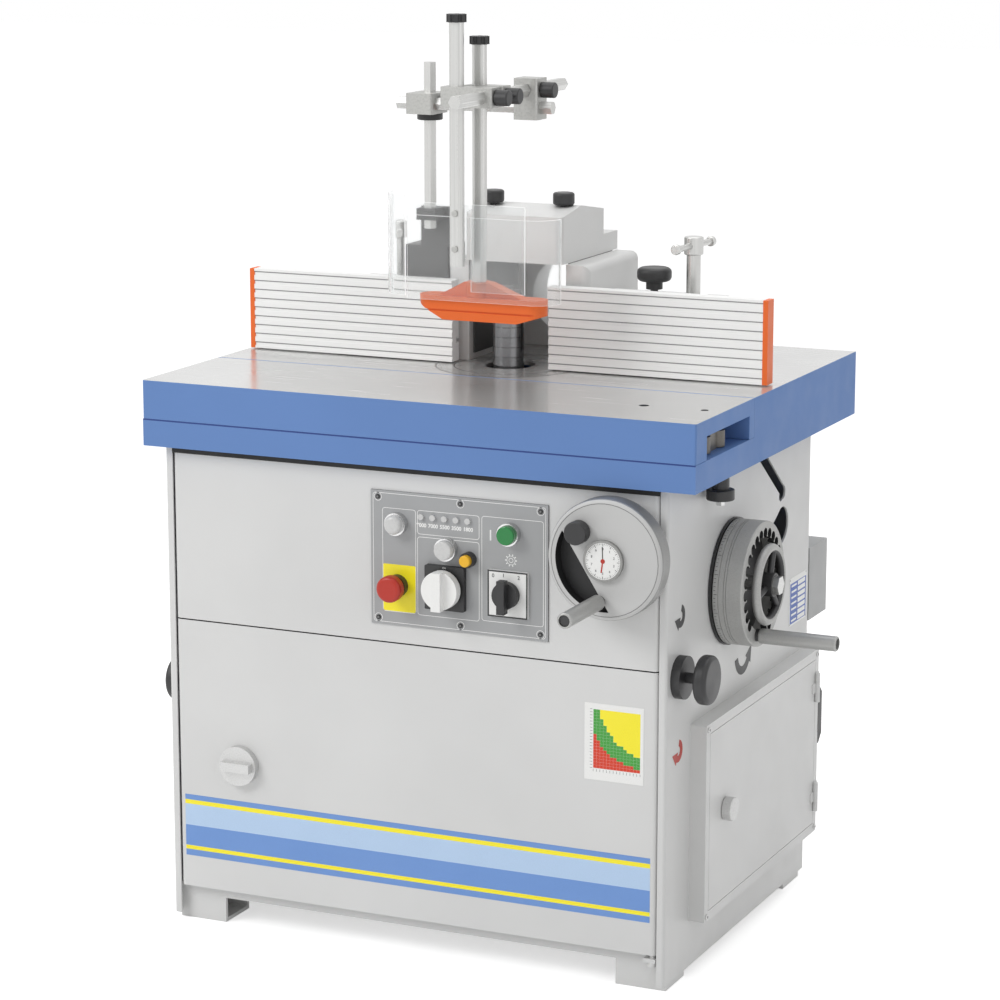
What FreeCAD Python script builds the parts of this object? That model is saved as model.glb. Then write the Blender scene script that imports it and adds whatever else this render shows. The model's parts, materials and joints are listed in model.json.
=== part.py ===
import FreeCAD, Part
import math
import os

V = FreeCAD.Vector
os.makedirs("parts", exist_ok=True)

# Machine frame: x right, y back, z up, origin on the floor in the middle of the cabinet
CABINET_W = 826.0
CABINET_D = 620.0
TABLE_TOP = 860.0
TABLE_EDGE_H = 101.0
TABLE_OVER_LEFT = 26.0
TABLE_OVER_RIGHT = 48.0
TABLE_OVER_FRONT = 20.0
TABLE_OVER_BACK = 70.0
SHEET = 3.0

# Fits and clearances
FIT = 0.05
GAP = 0.3
SLIDE_GAP = 0.6
SEAM = 1.0
CUT = 5.0

# Cabinet
PANEL_BOTTOM = 11.0
POST_W = 12.0
POST_R = 5.0
PAN_Z = 57.0
FRONT_SEAM_Z = 488.0
DOOR_SHEET = 2.5
DOOR_DEPTH = 20.0
DOOR_EDGE_R = 8.0
DOOR_BOTTOM_Z = 58.0
FOOT_W = 80.0
FOOT_D = 74.0
FOOT_WALL = 6.0
FOOT_SETBACK = 16.0
ANCHOR_R = 9.0
LIP_H = 17.0
HINGE_PIN_R = 4.0
HINGE_PIN_REACH = 8.0
HINGE_PLATE_T = 6.0
HINGE_PLATE_W = 24.0
HINGE_HEAD_R = 7.0
HINGE_HEAD_H = 6.0

# Lower door latch
LATCH_INSET = 123.0
LATCH_Z = 266.0
LATCH_R = 31.0
LATCH_T = 12.0
LATCH_STEM_R = 12.0
LATCH_GRIP_W = 14.0
LATCH_GRIP_H = 10.0
LATCH_GRIP_SHARE = 0.8
CAM_L = 116.0
CAM_W = 20.0
CAM_T = 4.0

# Rear panel, rear box and handle
VENT_COUNT = 8
VENT_L = 180.0
VENT_H = 6.0
VENT_PITCH = 18.0
VENT_Z = 180.0
REAR_BOX_W = 120.0
REAR_BOX_H = 120.0
REAR_BOX_D = 88.0
REAR_BOX_Z = 425.0
REAR_BOX_INSET = 2.0
GASKET_T = 8.0
GASKET_STEP = 5.0
GLAND_R = 12.0
GLAND_L = 20.0
HANDLE_X_INSET = 1.0
HANDLE_W = 26.0
HANDLE_REACH = 82.0
HANDLE_Z = 205.0
HANDLE_H = 98.0
HANDLE_BAR = 18.0
HANDLE_CHAMFER = 14.0

# Control panel
CONTROL_LEFT = 125.0
CONTROL_RIGHT = 186.0
CONTROL_H = 204.0
CONTROL_Z = 618.0
CONTROL_T = 2.0
CONTROL_BORDER = 16.0
LAMP_SHARES = (-0.345, 0.265)
START_SHARES = (0.29, 0.268)
STOP_SHARES = (-0.347, -0.199)
RESET_SHARES = (-0.061, 0.112)
RELEASE_SHARES = (0.062, 0.051)
MAIN_SHARES = (-0.068, -0.176)
SELECTOR_SHARES = (0.282, -0.176)
LED_COUNT = 5
LED_START_SHARES = (-0.21, 0.33)
LED_PITCH = 19.0
LED_R = 4.5
LED_T = 4.0
BARREL_R = 11.0
BARREL_L = 28.0
BARREL_GAP = 0.2
STEM_R = 7.0
BEZEL_R = 17.0
BEZEL_H = 12.0
BEZEL_FLOOR = 2.0
SMALL_BEZEL_R = 11.6
CAP_GAP = 0.3
CAP_WALL = 2.6
CAP_OUT = 8.0
CAP_TRAVEL = 4.0
CAP_EDGE_R = 2.0
MUSHROOM_R = 20.0
MUSHROOM_H = 16.0
MUSHROOM_EDGE_R = 6.0
LAMP_OUT = 10.0
MAIN_BASE_W = 64.0
MAIN_BASE_H = 67.0
MAIN_BASE_T = 9.0
MAIN_DISC_R = 29.0
MAIN_DISC_T = 14.0
MAIN_DISC_GAP = 5.0
MAIN_BAR_W = 15.0
MAIN_BAR_H = 12.0
SELECTOR_W = 64.0
SELECTOR_H = 70.0
SELECTOR_T = 5.0
SELECTOR_R = 20.0
SELECTOR_DISC_T = 12.0
SELECTOR_GAP = 1.0
SELECTOR_BAR_W = 12.0
SELECTOR_BAR_L = 50.0
SELECTOR_BAR_H = 14.0
SWITCH_SHAFT_R = 5.0
SWITCH_SHAFT_L = 40.0

# Side clamp knobs
RIGHT_KNOB_FRONT = 45.0
LEFT_KNOB_FRONT = 110.0
RIGHT_KNOB_Z = 473.0
LEFT_KNOB_Z = 360.0
SIDE_FLANGE_R = 32.0
SIDE_FLANGE_T = 14.0
SIDE_STUD_R = 8.0
SIDE_STUD_L = 20.0
SIDE_KNOB_R = 36.5
SIDE_KNOB_T = 21.0
SIDE_KNOB_EDGE_R = 7.0
STUD_INSIDE = 18.0

# Switch box on the right side
BOX_FRONT = 97.0
BOX_BACK = 18.0
BOX_Z0 = 83.0
BOX_H = 305.0
BOX_RIM = 15.0
BOX_PROUD = 26.0
BOX_DEPTH = 110.0
BOX_DOOR_T = 3.0
BOX_DOOR_FLANGE = 12.0
BOX_HINGE_R = 4.0
BOX_HINGE_L = 48.0
BOX_HINGE_OUT = 4.0
BOX_HINGE_SHARES = (0.2, 0.8)
BOX_PIN_R = 2.0
BOX_LATCH_Y_SHARE = 0.16
BOX_LATCH_Z_SHARE = 0.515
BOX_LATCH_R = 18.0
BOX_LATCH_T = 16.0
BOX_LATCH_STEM_R = 8.0
BOX_CAM_L = 50.0
KEEPER_L = 22.0
KEEPER_H = 30.0
KEEPER_T = 4.0
MOUNT_PLATE_T = 4.0
MOUNT_PLATE_INSET = 25.0
CONTACTOR_W = 55.0
CONTACTOR_H = 85.0
CONTACTOR_D = 70.0
CONTACTOR_COUNT = 4
RAIL_T = 7.0
RAIL_H = 35.0

# Table
PLATE_T = 40.0
SKIRT_T = 15.0
SHELF_T = 14.0
SLIDE_H = 59.0
SLIDE_TO_SPINDLE = 116.6
SLIDE_POCKET_Y_SHARES = (0.18, 0.915)
SLIDE_POCKET_H = 35.0
SLIDE_EDGE_R = 3.0
RAIL_W = 30.0
RAIL_TALL = 26.0
RAIL_INSET = 20.0
POST_SLIDE_R = 14.0
POST_SLIDE_H = 24.0
POST_NECK_R = 6.0
POST_SHARES = (0.03, 0.32, 0.68, 0.97)
SLIDE_HOLES = ((124.0, 7.5), (30.0, 6.0))
SLIDE_HOLE_Y_SHARE = 0.468
RING_R = 114.0
RING_GAP = 0.3
RING_H = 10.0
RING_BORE_R = 105.0
RING_BACK = 40.0
LEDGE_H = 4.0
LEDGE_R = 75.0
INNER_RING_R = 85.0
RING_HOLE_R = 36.0
RING_HOLE_BACK = 13.0
STOP_FRONT = 165.0
STOP_R = 21.0
STOP_T = 16.0
STOP_NECK_R = 13.0
STOP_NECK_L = 24.0
STOP_BOLT_AF = 12.0
STOP_BOLT_T = 8.0

# Tilt guides and cradle, drops are below the table top at the spindle
GUIDE_GAP = 0.5
GUIDE_T = 20.0
GUIDE_R = 152.0
TONGUE_R0 = 118.0
TONGUE_R1 = 136.0
TONGUE_SPAN_DEG = 22.0
TILT_DEG = 45.0
SLOT_SPARE_DEG = 2.0
TONGUE_DEPTH = 12.0
GUIDE_FOOT_T = 12.0
GUIDE_FOOT_W = 45.0
GUIDE_FRONT = 62.0
CRADLE_IN = 120.0
CRADLE_T = 20.0
CRADLE_TOP_DROP = 115.0
CRADLE_BOTTOM_DROP = 320.0
CRADLE_FRONT = 92.0
CRADLE_BACK = 55.0
TIE_R = 12.0
TIE_BACK = 76.0
TIE_DROPS = (185.0, 262.0)
TIE_LUG = 17.0
GUIDE_RAIL_W = 16.0
GUIDE_RAIL_D = 10.0
TUBE_R = 14.0
TUBE_DEG = -25.0
TUBE_RADIUS = 170.0
WORM_INSET = 76.0
WORM_DROP = 200.5
WORM_R = 14.0
WORM_MESH_GAP = 0.4
WORM_FRONT = 35.0
WORM_BACK = 40.0
WORM_GROOVE = 3.0
WORM_GROOVE_PITCH = 12.0
SECTOR_T = 16.0
SECTOR_R0 = 140.0
SECTOR_SPARE_DEG = 6.0
SECTOR_NOTCH_R = 2.6
SECTOR_NOTCH_DEG = 3.87
WORM_SHAFT_R = 10.0
WORM_BEARING_R = 28.0
WORM_BEARING_T = 8.0
WORM_BEARING_BACK = 20.0
HANGER_T = 12.0
HANGER_Y = 60.0
HANGER_HALF = 15.0

# Tilt handwheel on the front
WHEEL_R = 89.0
WHEEL_T = 36.0
WHEEL_OUT = 19.0
WHEEL_EDGE_R = 7.0
WHEEL_BACK_R = 72.0
WHEEL_BACK_D = 6.0
HUB_R = 26.0
POCKET_R = 76.0
POCKET_D = 20.0
POCKET_CHORD = ((-60.6, 31.0), (8.7, -78.0))
INDICATOR_R = 30.5
INDICATOR_DEEP = 13.0
INDICATOR_OUT = 6.0
INDICATOR_RIM = 3.5
INDICATOR_RECESS = 4.0
LENS_T = 2.0
LOCK_KNOB_R = 17.0
LOCK_KNOB_T = 20.0
LOCK_KNOB_DX = -38.0
LOCK_KNOB_DZ = 39.5
LOCK_STEM_R = 6.0
LOCK_STEM_L = 16.0
GRIP_R = 11.5
GRIP_L = 122.0
GRIP_PIN_R = 5.0
GRIP_HEAD_R = 7.5
GRIP_HEAD_T = 5.0
GRIP_SINK = 8.0
GRIP_SINK_R = 8.5
GRIP_EDGE_R = 2.5
GRIP_NECK_R = 9.0
GRIP_NECK_L = 5.0
GRIP_PIN_ROOT = 8.0
TILT_GRIP_DX = -7.0
TILT_GRIP_DZ = -60.5

# Height handwheel on the right
HEIGHT_BACK = -77.0
HEIGHT_DROP = 289.0
HEIGHT_SHAFT_R = 12.0
HEIGHT_TUBE_R = 15.0
INDEX_R = 97.0
INDEX_T = 4.0
INDEX_GAP = 1.0
DRUM_R = 95.0
DRUM_L = 46.5
DRUM_GAP = 0.5
DRUM_CAVITY_R = 86.0
DRUM_WEB_T = 13.5
DRUM_LIP_T = 10.0
DRUM_TIP_R = 71.5
SCALLOP_COUNT = 26
SCALLOP_R = 8.3
SCALLOP_AT_R = 76.5
SCALLOP_SKIP_COUNT = 4
DRUM_GROOVE = 1.2
DRUM_GROOVE_SHARES = (0.2, 0.38, 0.46)
COVER_T = 4.0
COVER_GAP = 0.4
HEIGHT_GRIP_AT = 78.0
HEIGHT_GRIP_DEG = 251.3
LOCK_RIM_R = 55.0
LOCK_RIM_WIRE = 7.0
LOCK_RIM_OUT = 9.0
LOCK_HUB_R = 18.0
LOCK_HUB_L = 20.0
LOCK_SPOKE_R = 5.0
LOCK_SPOKE_COUNT = 3
NUT_R = 13.0
NUT_T = 9.0
SHAFT_SLOT_R0 = 262.0
SHAFT_SLOT_R1 = 318.0
SHAFT_SLOT_DEG = (-16.0, 31.5)
LOCK_SLOT_Y0 = 45.0
LOCK_SLOT_Y1 = 178.0
LOCK_SLOT_DROP = 196.0
LOCK_SLOT_R = 11.0
LOCK_SLOT_BUMP = 9.0
SCREW_IN = 99.0
SCREW_R = 9.0
SCREW_TOP_DROP = 138.0
SCREW_BOTTOM_DROP = 330.0
SCREW_LUG_T = 12.0
SCREW_LUG_HALF = 14.0
BEVEL_R = 16.0
BEVEL_R_SMALL = 9.5
BEVEL_L = 7.0
BEVEL_GAP = 0.6

# Quill, motor and spindle
QUILL_R = 42.0
QUILL_TOP_DROP = 140.0
QUILL_BOTTOM_DROP = 260.0
WING_T = 40.0
WING_TOP_DROP = 145.0
WING_BOTTOM_DROP = 250.0
NUT_LUG_TOP_DROP = 176.0
NUT_LUG_T = 22.0
BEARING_R = 36.0
BEARING_T = 18.0
SPINDLE_R = 20.0
SPINDLE_HEAD_R = 24.5
SPINDLE_HEAD_DROP = 105.0
ARBOR_R = 15.0
ARBOR_RISE = 118.0
RING_COUNT = 7
SPACER_H = 15.6
SPACER_GAP = 0.2
SPACER_BORE_GAP = 0.1
ARBOR_CAP_R = 22.0
ARBOR_CAP_H = 8.0
ARBOR_SCREW_R = 9.0
ARBOR_SCREW_H = 8.0
PULLEY_R = 40.0
PULLEY_H = 33.0
PULLEY_DROP = 264.0
PULLEY_GROOVE = 3.0
BELT_H = 24.0
BELT_T = 5.0
MOTOR_SHIFT = 1.5
MOTOR_R = 72.0
MOTOR_L = 158.0
MOTOR_TOP_DROP = 310.0
MOTOR_FIN = 5.0
MOTOR_FIN_T = 4.0
MOTOR_FIN_COUNT = 28
MOTOR_CORE_R = 64.0
MOTOR_CAP_L = 30.0
MOTOR_PLATE_T = 8.0
MOTOR_PLATE_HALF = 80.0
MOTOR_SHAFT_R = 14.0
MOTOR_BORE_R = 30.0
MOTOR_BOX_W = 70.0
MOTOR_BOX_D = 30.0
MOTOR_BOX_H = 60.0
MOTOR_PULLEY_R = 45.0

# Fence
FENCE_FRONT = -20.0
FENCE_PLATE_T = 25.0
FENCE_PLATE_L = 350.0
FENCE_PLATE_H = 128.0
FENCE_LIFT = 2.0
FENCE_GAP_LEFT = 88.0
FENCE_GAP_RIGHT = 76.0
FENCE_GROOVE_COUNT = 9
FENCE_GROOVE_D = 1.6
FENCE_GROOVE_SHARE = 0.45
TSLOT_W = 12.0
TSLOT_D = 9.0
CAP_T = 8.0
CHEEK_LEFT_IN = 77.0
CHEEK_RIGHT_IN = 88.0
CHEEK_T = 37.0
CHEEK_H = 160.0
CHEEK_FRONT = 20.0
CHEEK_EDGE_R = 12.0
FENCE_BACK = 225.0
FENCE_BACK_T = 18.0
FLANGE_H = 25.0
FLANGE_FRONT = 35.0
FLANGE_L = 190.0
CASTING_LIFT = 0.2
JAW_H = 112.0
JAW_L = 190.0
JAW_D = 125.0
JAW_WALL = 14.0
CLAMP_Y = 95.0
CLAMP_LEFT = 239.0
CLAMP_RIGHT = 270.0
CLAMP_R = 11.0
CLAMP_RISE = 205.0
CLAMP_DEEP = 32.0
CLAMP_COLLAR_R = 20.0
CLAMP_COLLAR_T = 8.0
CLAMP_SLOT_L = 118.0
CLAMP_SLOT_GAP = 1.0
CLAMP_HEAD_R = 15.0
CLAMP_HEAD_H = 28.0
TOMMY_R = 5.0
TOMMY_L = 130.0
TOMMY_END_R = 8.0
TOMMY_END_L = 9.0
TOMMY_LEFT_DEG = 115.0
TOMMY_RIGHT_DEG = 85.0
JAW_KNOB_IN = 110.0
JAW_KNOB_R = 27.0
JAW_KNOB_H = 22.0
JAW_KNOB_LIFT = 8.0
JAW_KNOB_NECK_R = 13.0
JAW_KNOB_NECK_L = 12.0
JAW_KNOB_EDGE_R = 8.0
JAW_KNOB_STEM_R = 6.0
JAW_KNOB_STEM_L = 14.0
KNOB_EDGE_R = 4.0
HOOD_FRONT = 6.0
HOOD_D = 222.0
HOOD_Z0 = 161.0
HOOD_FRONT_H = 73.0
HOOD_RIDGE_H = 85.0
HOOD_RIDGE_SHARE = 0.33
HOOD_STEP_SHARE = 0.74
HOOD_STEP_TOP = 71.0
HOOD_STEP_H = 30.0
HOOD_EDGE_R = 8.0
HOOD_SHEET = 3.0
HOOD_KNOB_R = 17.0
HOOD_KNOB_H = 20.0
HOOD_KNOB_STEM_R = 5.0
HOOD_KNOBS = ((-54.0, 62.0), (62.0, 71.0))
HOUSING_SHEET = 3.0
HOUSING_FRONT = 35.0
HOUSING_LIFT = 10.0
SPIGOT_R = 60.0
SPIGOT_WALL = 3.0
SPIGOT_L = 58.0
SPIGOT_RISE = 82.0
SPIGOT_FLANGE = 70.0

# Guard
HEX_AF = 18.0
COLUMN_X = -135.0
COLUMN_Y = 2.0
COLUMN_BOTTOM = 208.0
COLUMN_TOP = 466.0
BRACKET_W = 73.0
BRACKET_D = 65.0
BRACKET_H = 66.0
BRACKET_BACK = 18.0
BRACKET_PLATE_T = 10.0
BRACKET_PLATE_W = 49.0
BRACKET_TOP = 240.0
COLLAR_H = 18.0
COLLAR_HALF = 16.0
CLAMP_BLOCK_HALF = 23.0
CLAMP_BLOCK_H = 32.0
CLAMP_WALL = 9.0
X_BAR_Y = -20.0
X_BAR_RISE = 404.0
X_BAR_LEFT = -178.0
X_BAR_RIGHT = 83.0
Y_BAR_X = 45.0
Y_BAR_RISE = 431.0
Y_BAR_FRONT = -290.0
Y_BAR_BACK = 102.0
CROSS_W = 40.0
BAR_LONG = 23.0
BAR_WIDE = 14.0
FRONT_BAR_X = -1.0
FRONT_BAR_Y = -184.6
FRONT_BAR_BOTTOM = 178.0
FRONT_BAR_TOP = 540.0
REAR_BAR_X = 18.0
REAR_BAR_Y = -145.0
REAR_BAR_BOTTOM = 140.0
REAR_BAR_TOP = 506.0
BAR_CLAMP_H = 30.0
KNOB_R = 12.0
KNOB_L = 22.0
STAR_R = 15.0
STAR_H = 12.0
STAR_COUNT = 8
STAR_NOTCH_R = 3.0
SHOE_LEFT = -79.0
SHOE_RIGHT = 128.0
SHOE_D = 44.0
SHOE_H = 36.0
SHOE_RISE = 93.0
SHOE_LEFT_SLOPE = (45.0, 24.0)
SHOE_RIGHT_SLOPE = (40.0, 12.0)
SHOE_GROOVE_Z = 13.0
SHOE_GROOVE = 2.5
FAIRING_W = 24.0
FAIRING_LEFT = 62.0
FAIRING_RIGHT = 74.0
BOSS_R = 20.0
BOSS_H = 22.0
SHIELD_T = 3.0
SHIELD_Y = -174.0
SHIELD_RISE = 123.0
SHIELD_H = 127.0
SHIELD_LEFT = -90.0
SHIELD_BEND_X = 107.0
SHIELD_BEND_R = 40.0
ARM_GAP = 0.3
ARM_RISE = 251.0
ARM_H = 19.0
ARM_LEFT = -92.0
ARM_RIGHT = 106.0
PANE_LEFT = 18.0
PANE_RISE = 139.0
SIDE_RISE = 128.0
SIDE_H = 153.0
SIDE_BEND_R = 45.0
SHIELD_SCREW_R = 3.0
SHIELD_SCREW_HEAD_R = 5.0
SHIELD_SCREW_HEAD_T = 3.0
SHIELD_SCREW_EDGE_R = 1.0
ARM_SCREW_SHARE = 0.35
SHIELD_SCREW_SHARE = 0.64

# Worked-out places
CX = CABINET_W / 2
CY = CABINET_D / 2
TX0 = -CX - TABLE_OVER_LEFT
TABLE_L = CABINET_W + TABLE_OVER_LEFT + TABLE_OVER_RIGHT
TX1 = TX0 + TABLE_L
TY0 = -CY - TABLE_OVER_FRONT
TY1 = CY + TABLE_OVER_BACK
SPX = (TX0 + TX1) / 2
SPY = (TY0 + TY1) / 2
TABLE_BOTTOM = TABLE_TOP - TABLE_EDGE_H
SLIDE_Z0 = TABLE_TOP - SLIDE_H
SHELF_TOP = SLIDE_Z0 - SLIDE_GAP
SLIDE_Y1 = SPY - SLIDE_TO_SPINDLE
SLIDE_W = SLIDE_Y1 - TY0
PLATE_Y0 = SLIDE_Y1 + SLIDE_GAP
DOOR_X1 = CX - POST_W - SEAM
DOOR_BACK_Y = -CY + DOOR_DEPTH
PIVOT_X = DOOR_X1 - DOOR_EDGE_R
PIVOT_Y = -CY + DOOR_EDGE_R
WORM_X = CX - WORM_INSET
WORM_Z = TABLE_TOP - WORM_DROP
HEIGHT_Y = SPY + HEIGHT_BACK
HEIGHT_Z = TABLE_TOP - HEIGHT_DROP
SCREW_X = SPX + SCREW_IN
MOTOR_Y = (DOOR_BACK_Y + SPY - CRADLE_FRONT) / 2 - MOTOR_SHIFT
MOTOR_FRONT = SPY - MOTOR_Y
LATCH_X = -CX + LATCH_INSET
RIGHT_KNOB_Y = -CY + RIGHT_KNOB_FRONT
LEFT_KNOB_Y = -CY + LEFT_KNOB_FRONT
CONTROL_W = CX - CONTROL_LEFT
CONTROL_X = CX - CONTROL_RIGHT - CONTROL_W / 2
BOX_Y0 = -CY + BOX_FRONT
BOX_L = CABINET_D - BOX_FRONT - BOX_BACK


def block(x0, x1, y0, y1, z0, z1):
    return Part.makeBox(x1 - x0, y1 - y0, z1 - z0, V(x0, y0, z0))


def rod_x(y, z, r, x0, x1):
    return Part.makeCylinder(r, x1 - x0, V(x0, y, z), V(1, 0, 0))


def rod_y(x, z, r, y0, y1):
    return Part.makeCylinder(r, y1 - y0, V(x, y0, z), V(0, 1, 0))


def rod_z(x, y, r, z0, z1):
    return Part.makeCylinder(r, z1 - z0, V(x, y, z0), V(0, 0, 1))


def prism(points, along):
    wire = Part.makePolygon(points + [points[0]])
    return Part.Face(wire).extrude(along)


def hex_points(a, b, across):
    r = across / math.sqrt(3)
    turns = [math.radians(60 * i) for i in range(6)]
    return [(a + r * math.cos(t), b + r * math.sin(t)) for t in turns]


def hex_x(y, z, across, x0, x1):
    return prism([V(x0, a, b) for a, b in hex_points(y, z, across)], V(x1 - x0, 0, 0))


def hex_y(x, z, across, y0, y1):
    return prism([V(a, y0, b) for a, b in hex_points(x, z, across)], V(0, y1 - y0, 0))


def hex_z(x, y, across, z0, z1):
    return prism([V(a, b, z0) for a, b in hex_points(x, y, across)], V(0, 0, z1 - z0))


def oval_z(x, y, long, wide, z0, z1):
    r = wide / 2
    half = (long - wide) / 2
    middle = block(x - half, x + half, y - r, y + r, z0, z1)
    return join([middle, rod_z(x - half, y, r, z0, z1), rod_z(x + half, y, r, z0, z1)])


def slot_z(x, y0, y1, r, z0, z1):
    return join([block(x - r, x + r, y0, y1, z0, z1), rod_z(x, y0, r, z0, z1), rod_z(x, y1, r, z0, z1)])


def join(shapes):
    whole = shapes[0]
    if len(shapes) > 1:
        whole = shapes[0].multiFuse(shapes[1:])
    return whole.removeSplitter()


def cut(shape, tools):
    return shape.cut(Part.makeCompound(tools)) if tools else shape


def along(edge, axis):
    a, b = edge.Vertexes[0].Point, edge.Vertexes[-1].Point
    d = b.sub(a)
    return d.Length > 0 and abs(d.dot(axis)) > 0.999 * d.Length


def round_where(shape, r, wanted):
    edges = [e for e in shape.Edges if wanted(e)]
    return shape.makeFillet(r, edges)


def round_along(shape, r, axis, side, limit):
    def wanted(e):
        return len(e.Vertexes) == 2 and along(e, axis) and (e.CenterOfMass.dot(side)) > limit
    return round_where(shape, r, wanted)


def sector_x(r0, r1, deg0, deg1, x0, x1):
    # Ring piece about the tilt axis, angles from straight down and positive to the back
    a0, a1 = math.radians(deg0), math.radians(deg1)
    am = (a0 + a1) / 2

    def at(r, a):
        return V(x0, SPY + r * math.sin(a), TABLE_TOP - r * math.cos(a))
    edges = [Part.Arc(at(r1, a0), at(r1, am), at(r1, a1)).toShape(),
             Part.makeLine(at(r1, a1), at(r0, a1)),
             Part.Arc(at(r0, a1), at(r0, am), at(r0, a0)).toShape(),
             Part.makeLine(at(r0, a0), at(r1, a0))]
    return Part.Face(Part.Wire(edges)).extrude(V(x1 - x0, 0, 0))


def knob(solid_rod, r):
    return round_where(solid_rod, r, lambda e: len(e.Vertexes) == 1)


def mirror_x(shape):
    return shape.mirror(V(0, 0, 0), V(1, 0, 0))


def mirror_y(shape):
    return shape.mirror(V(0, 0, 0), V(0, 1, 0))


def save(name, solids):
    pieces = []
    for s in solids:
        pieces.extend(s.Solids)
    shape = pieces[0] if len(pieces) == 1 else Part.makeCompound(pieces)
    shape.exportStep("parts/" + name + ".step")


# Side panels with folded front and rear edges
def side_panel():
    plate = block(CX - SHEET, CX, -CY, CY, PANEL_BOTTOM, TABLE_BOTTOM)
    front = block(CX - POST_W, CX, -CY, -CY + SHEET, PANEL_BOTTOM, TABLE_BOTTOM)
    rear = block(CX - POST_W, CX, CY - SHEET, CY, PANEL_BOTTOM, TABLE_BOTTOM)
    panel = join([plate, front, rear])
    edge_limit = math.hypot(CX, CY) * 0.999
    corner_edges = [e for e in panel.Edges if along(e, V(0, 0, 1))
                    and math.hypot(e.CenterOfMass.x, e.CenterOfMass.y) > edge_limit]
    return panel.makeFillet(POST_R, corner_edges)


def side_knob_hole(y, z):
    return rod_x(y, z, SIDE_STUD_R + GAP, CX - SHEET - CUT, CX + CUT)


def side_flange(y, z):
    flange = rod_x(y, z, SIDE_FLANGE_R, CX, CX + SIDE_FLANGE_T)
    bore = rod_x(y, z, SIDE_STUD_R + FIT, CX - CUT, CX + SIDE_FLANGE_T + CUT)
    return flange.cut(bore)


def side_knob(y, z):
    x0 = CX + SIDE_FLANGE_T + SIDE_STUD_L
    stud = rod_x(y, z, SIDE_STUD_R, CX - SHEET - STUD_INSIDE, x0 + SIDE_KNOB_T / 2)
    grip = knob(rod_x(y, z, SIDE_KNOB_R, x0, x0 + SIDE_KNOB_T), SIDE_KNOB_EDGE_R)
    return join([stud, grip])


box_y1 = BOX_Y0 + BOX_L
box_z1 = BOX_Z0 + BOX_H
box_in_y0 = BOX_Y0 + BOX_RIM
box_in_y1 = box_y1 - BOX_RIM
box_in_z0 = BOX_Z0 + BOX_RIM
box_in_z1 = box_z1 - BOX_RIM

slot_x0 = CX - SHEET - CUT
slot_x1 = CX + CUT
slot_mid = (SHAFT_SLOT_R0 + SHAFT_SLOT_R1) / 2
slot_half = (SHAFT_SLOT_R1 - SHAFT_SLOT_R0) / 2
shaft_slot = [sector_x(SHAFT_SLOT_R0, SHAFT_SLOT_R1, SHAFT_SLOT_DEG[0], SHAFT_SLOT_DEG[1], slot_x0, slot_x1)]
for slot_end in SHAFT_SLOT_DEG:
    end_y = SPY + slot_mid * math.sin(math.radians(slot_end))
    end_z = TABLE_TOP - slot_mid * math.cos(math.radians(slot_end))
    shaft_slot.append(rod_x(end_y, end_z, slot_half, slot_x0, slot_x1))
lock_z = TABLE_TOP - LOCK_SLOT_DROP
slope = (TABLE_BOTTOM - lock_z) / (LOCK_SLOT_Y1 - LOCK_SLOT_Y0)
side_step = LOCK_SLOT_R * math.sqrt(1 + slope * slope) / slope
lock_slot = [prism([V(slot_x0, LOCK_SLOT_Y0 - side_step, TABLE_BOTTOM + CUT),
                    V(slot_x0, LOCK_SLOT_Y0 + side_step, TABLE_BOTTOM + CUT),
                    V(slot_x0, LOCK_SLOT_Y1 + side_step / 2, lock_z + LOCK_SLOT_R / 2),
                    V(slot_x0, LOCK_SLOT_Y1 - side_step / 2, lock_z - LOCK_SLOT_R / 2)],
                   V(slot_x1 - slot_x0, 0, 0)),
             rod_x(LOCK_SLOT_Y1, lock_z, LOCK_SLOT_R, slot_x0, slot_x1),
             rod_x(LOCK_SLOT_Y1 - LOCK_SLOT_BUMP, lock_z - LOCK_SLOT_BUMP / 2, LOCK_SLOT_BUMP, slot_x0,
                   slot_x1)]
tub_hole = block(slot_x0, slot_x1, box_in_y0 - SHEET - GAP, box_in_y1 + SHEET + GAP,
                 box_in_z0 - SHEET - GAP, box_in_z1 + SHEET + GAP)
right_panel = cut(side_panel(), [side_knob_hole(RIGHT_KNOB_Y, RIGHT_KNOB_Z), join(shaft_slot),
                                 join(lock_slot), tub_hole])
left_panel = side_panel().cut(side_knob_hole(LEFT_KNOB_Y, LEFT_KNOB_Z))
save("side_panel_right", [right_panel, side_flange(RIGHT_KNOB_Y, RIGHT_KNOB_Z)])
save("side_panel_left", [mirror_x(left_panel), mirror_x(side_flange(LEFT_KNOB_Y, LEFT_KNOB_Z))])
save("right_clamp_knob", [side_knob(RIGHT_KNOB_Y, RIGHT_KNOB_Z)])
save("left_clamp_knob", [mirror_x(side_knob(LEFT_KNOB_Y, LEFT_KNOB_Z))])

# Rear panel with vents and a carrying handle
panel_x1 = CX - POST_W - SEAM / 2
vents = []
for i in range(VENT_COUNT):
    z = VENT_Z + i * VENT_PITCH
    for x in (-panel_x1 / 2, panel_x1 / 2):
        vents.append(block(x - VENT_L / 2, x + VENT_L / 2, CY - SHEET - CUT, CY + CUT, z, z + VENT_H))
rear_panel = cut(block(-panel_x1, panel_x1, CY - SHEET, CY, PAN_Z, TABLE_BOTTOM), vents)
handle_x1 = CX - HANDLE_X_INSET
handle_z1 = HANDLE_Z + HANDLE_H
handle_y1 = CY + HANDLE_REACH
handle = prism([V(handle_x1 - HANDLE_W, CY, HANDLE_Z),
                V(handle_x1 - HANDLE_W, handle_y1 - HANDLE_CHAMFER, HANDLE_Z),
                V(handle_x1 - HANDLE_W, handle_y1, HANDLE_Z + HANDLE_CHAMFER),
                V(handle_x1 - HANDLE_W, handle_y1, handle_z1 - HANDLE_CHAMFER),
                V(handle_x1 - HANDLE_W, handle_y1 - HANDLE_CHAMFER, handle_z1),
                V(handle_x1 - HANDLE_W, CY, handle_z1)], V(HANDLE_W, 0, 0))
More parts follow.
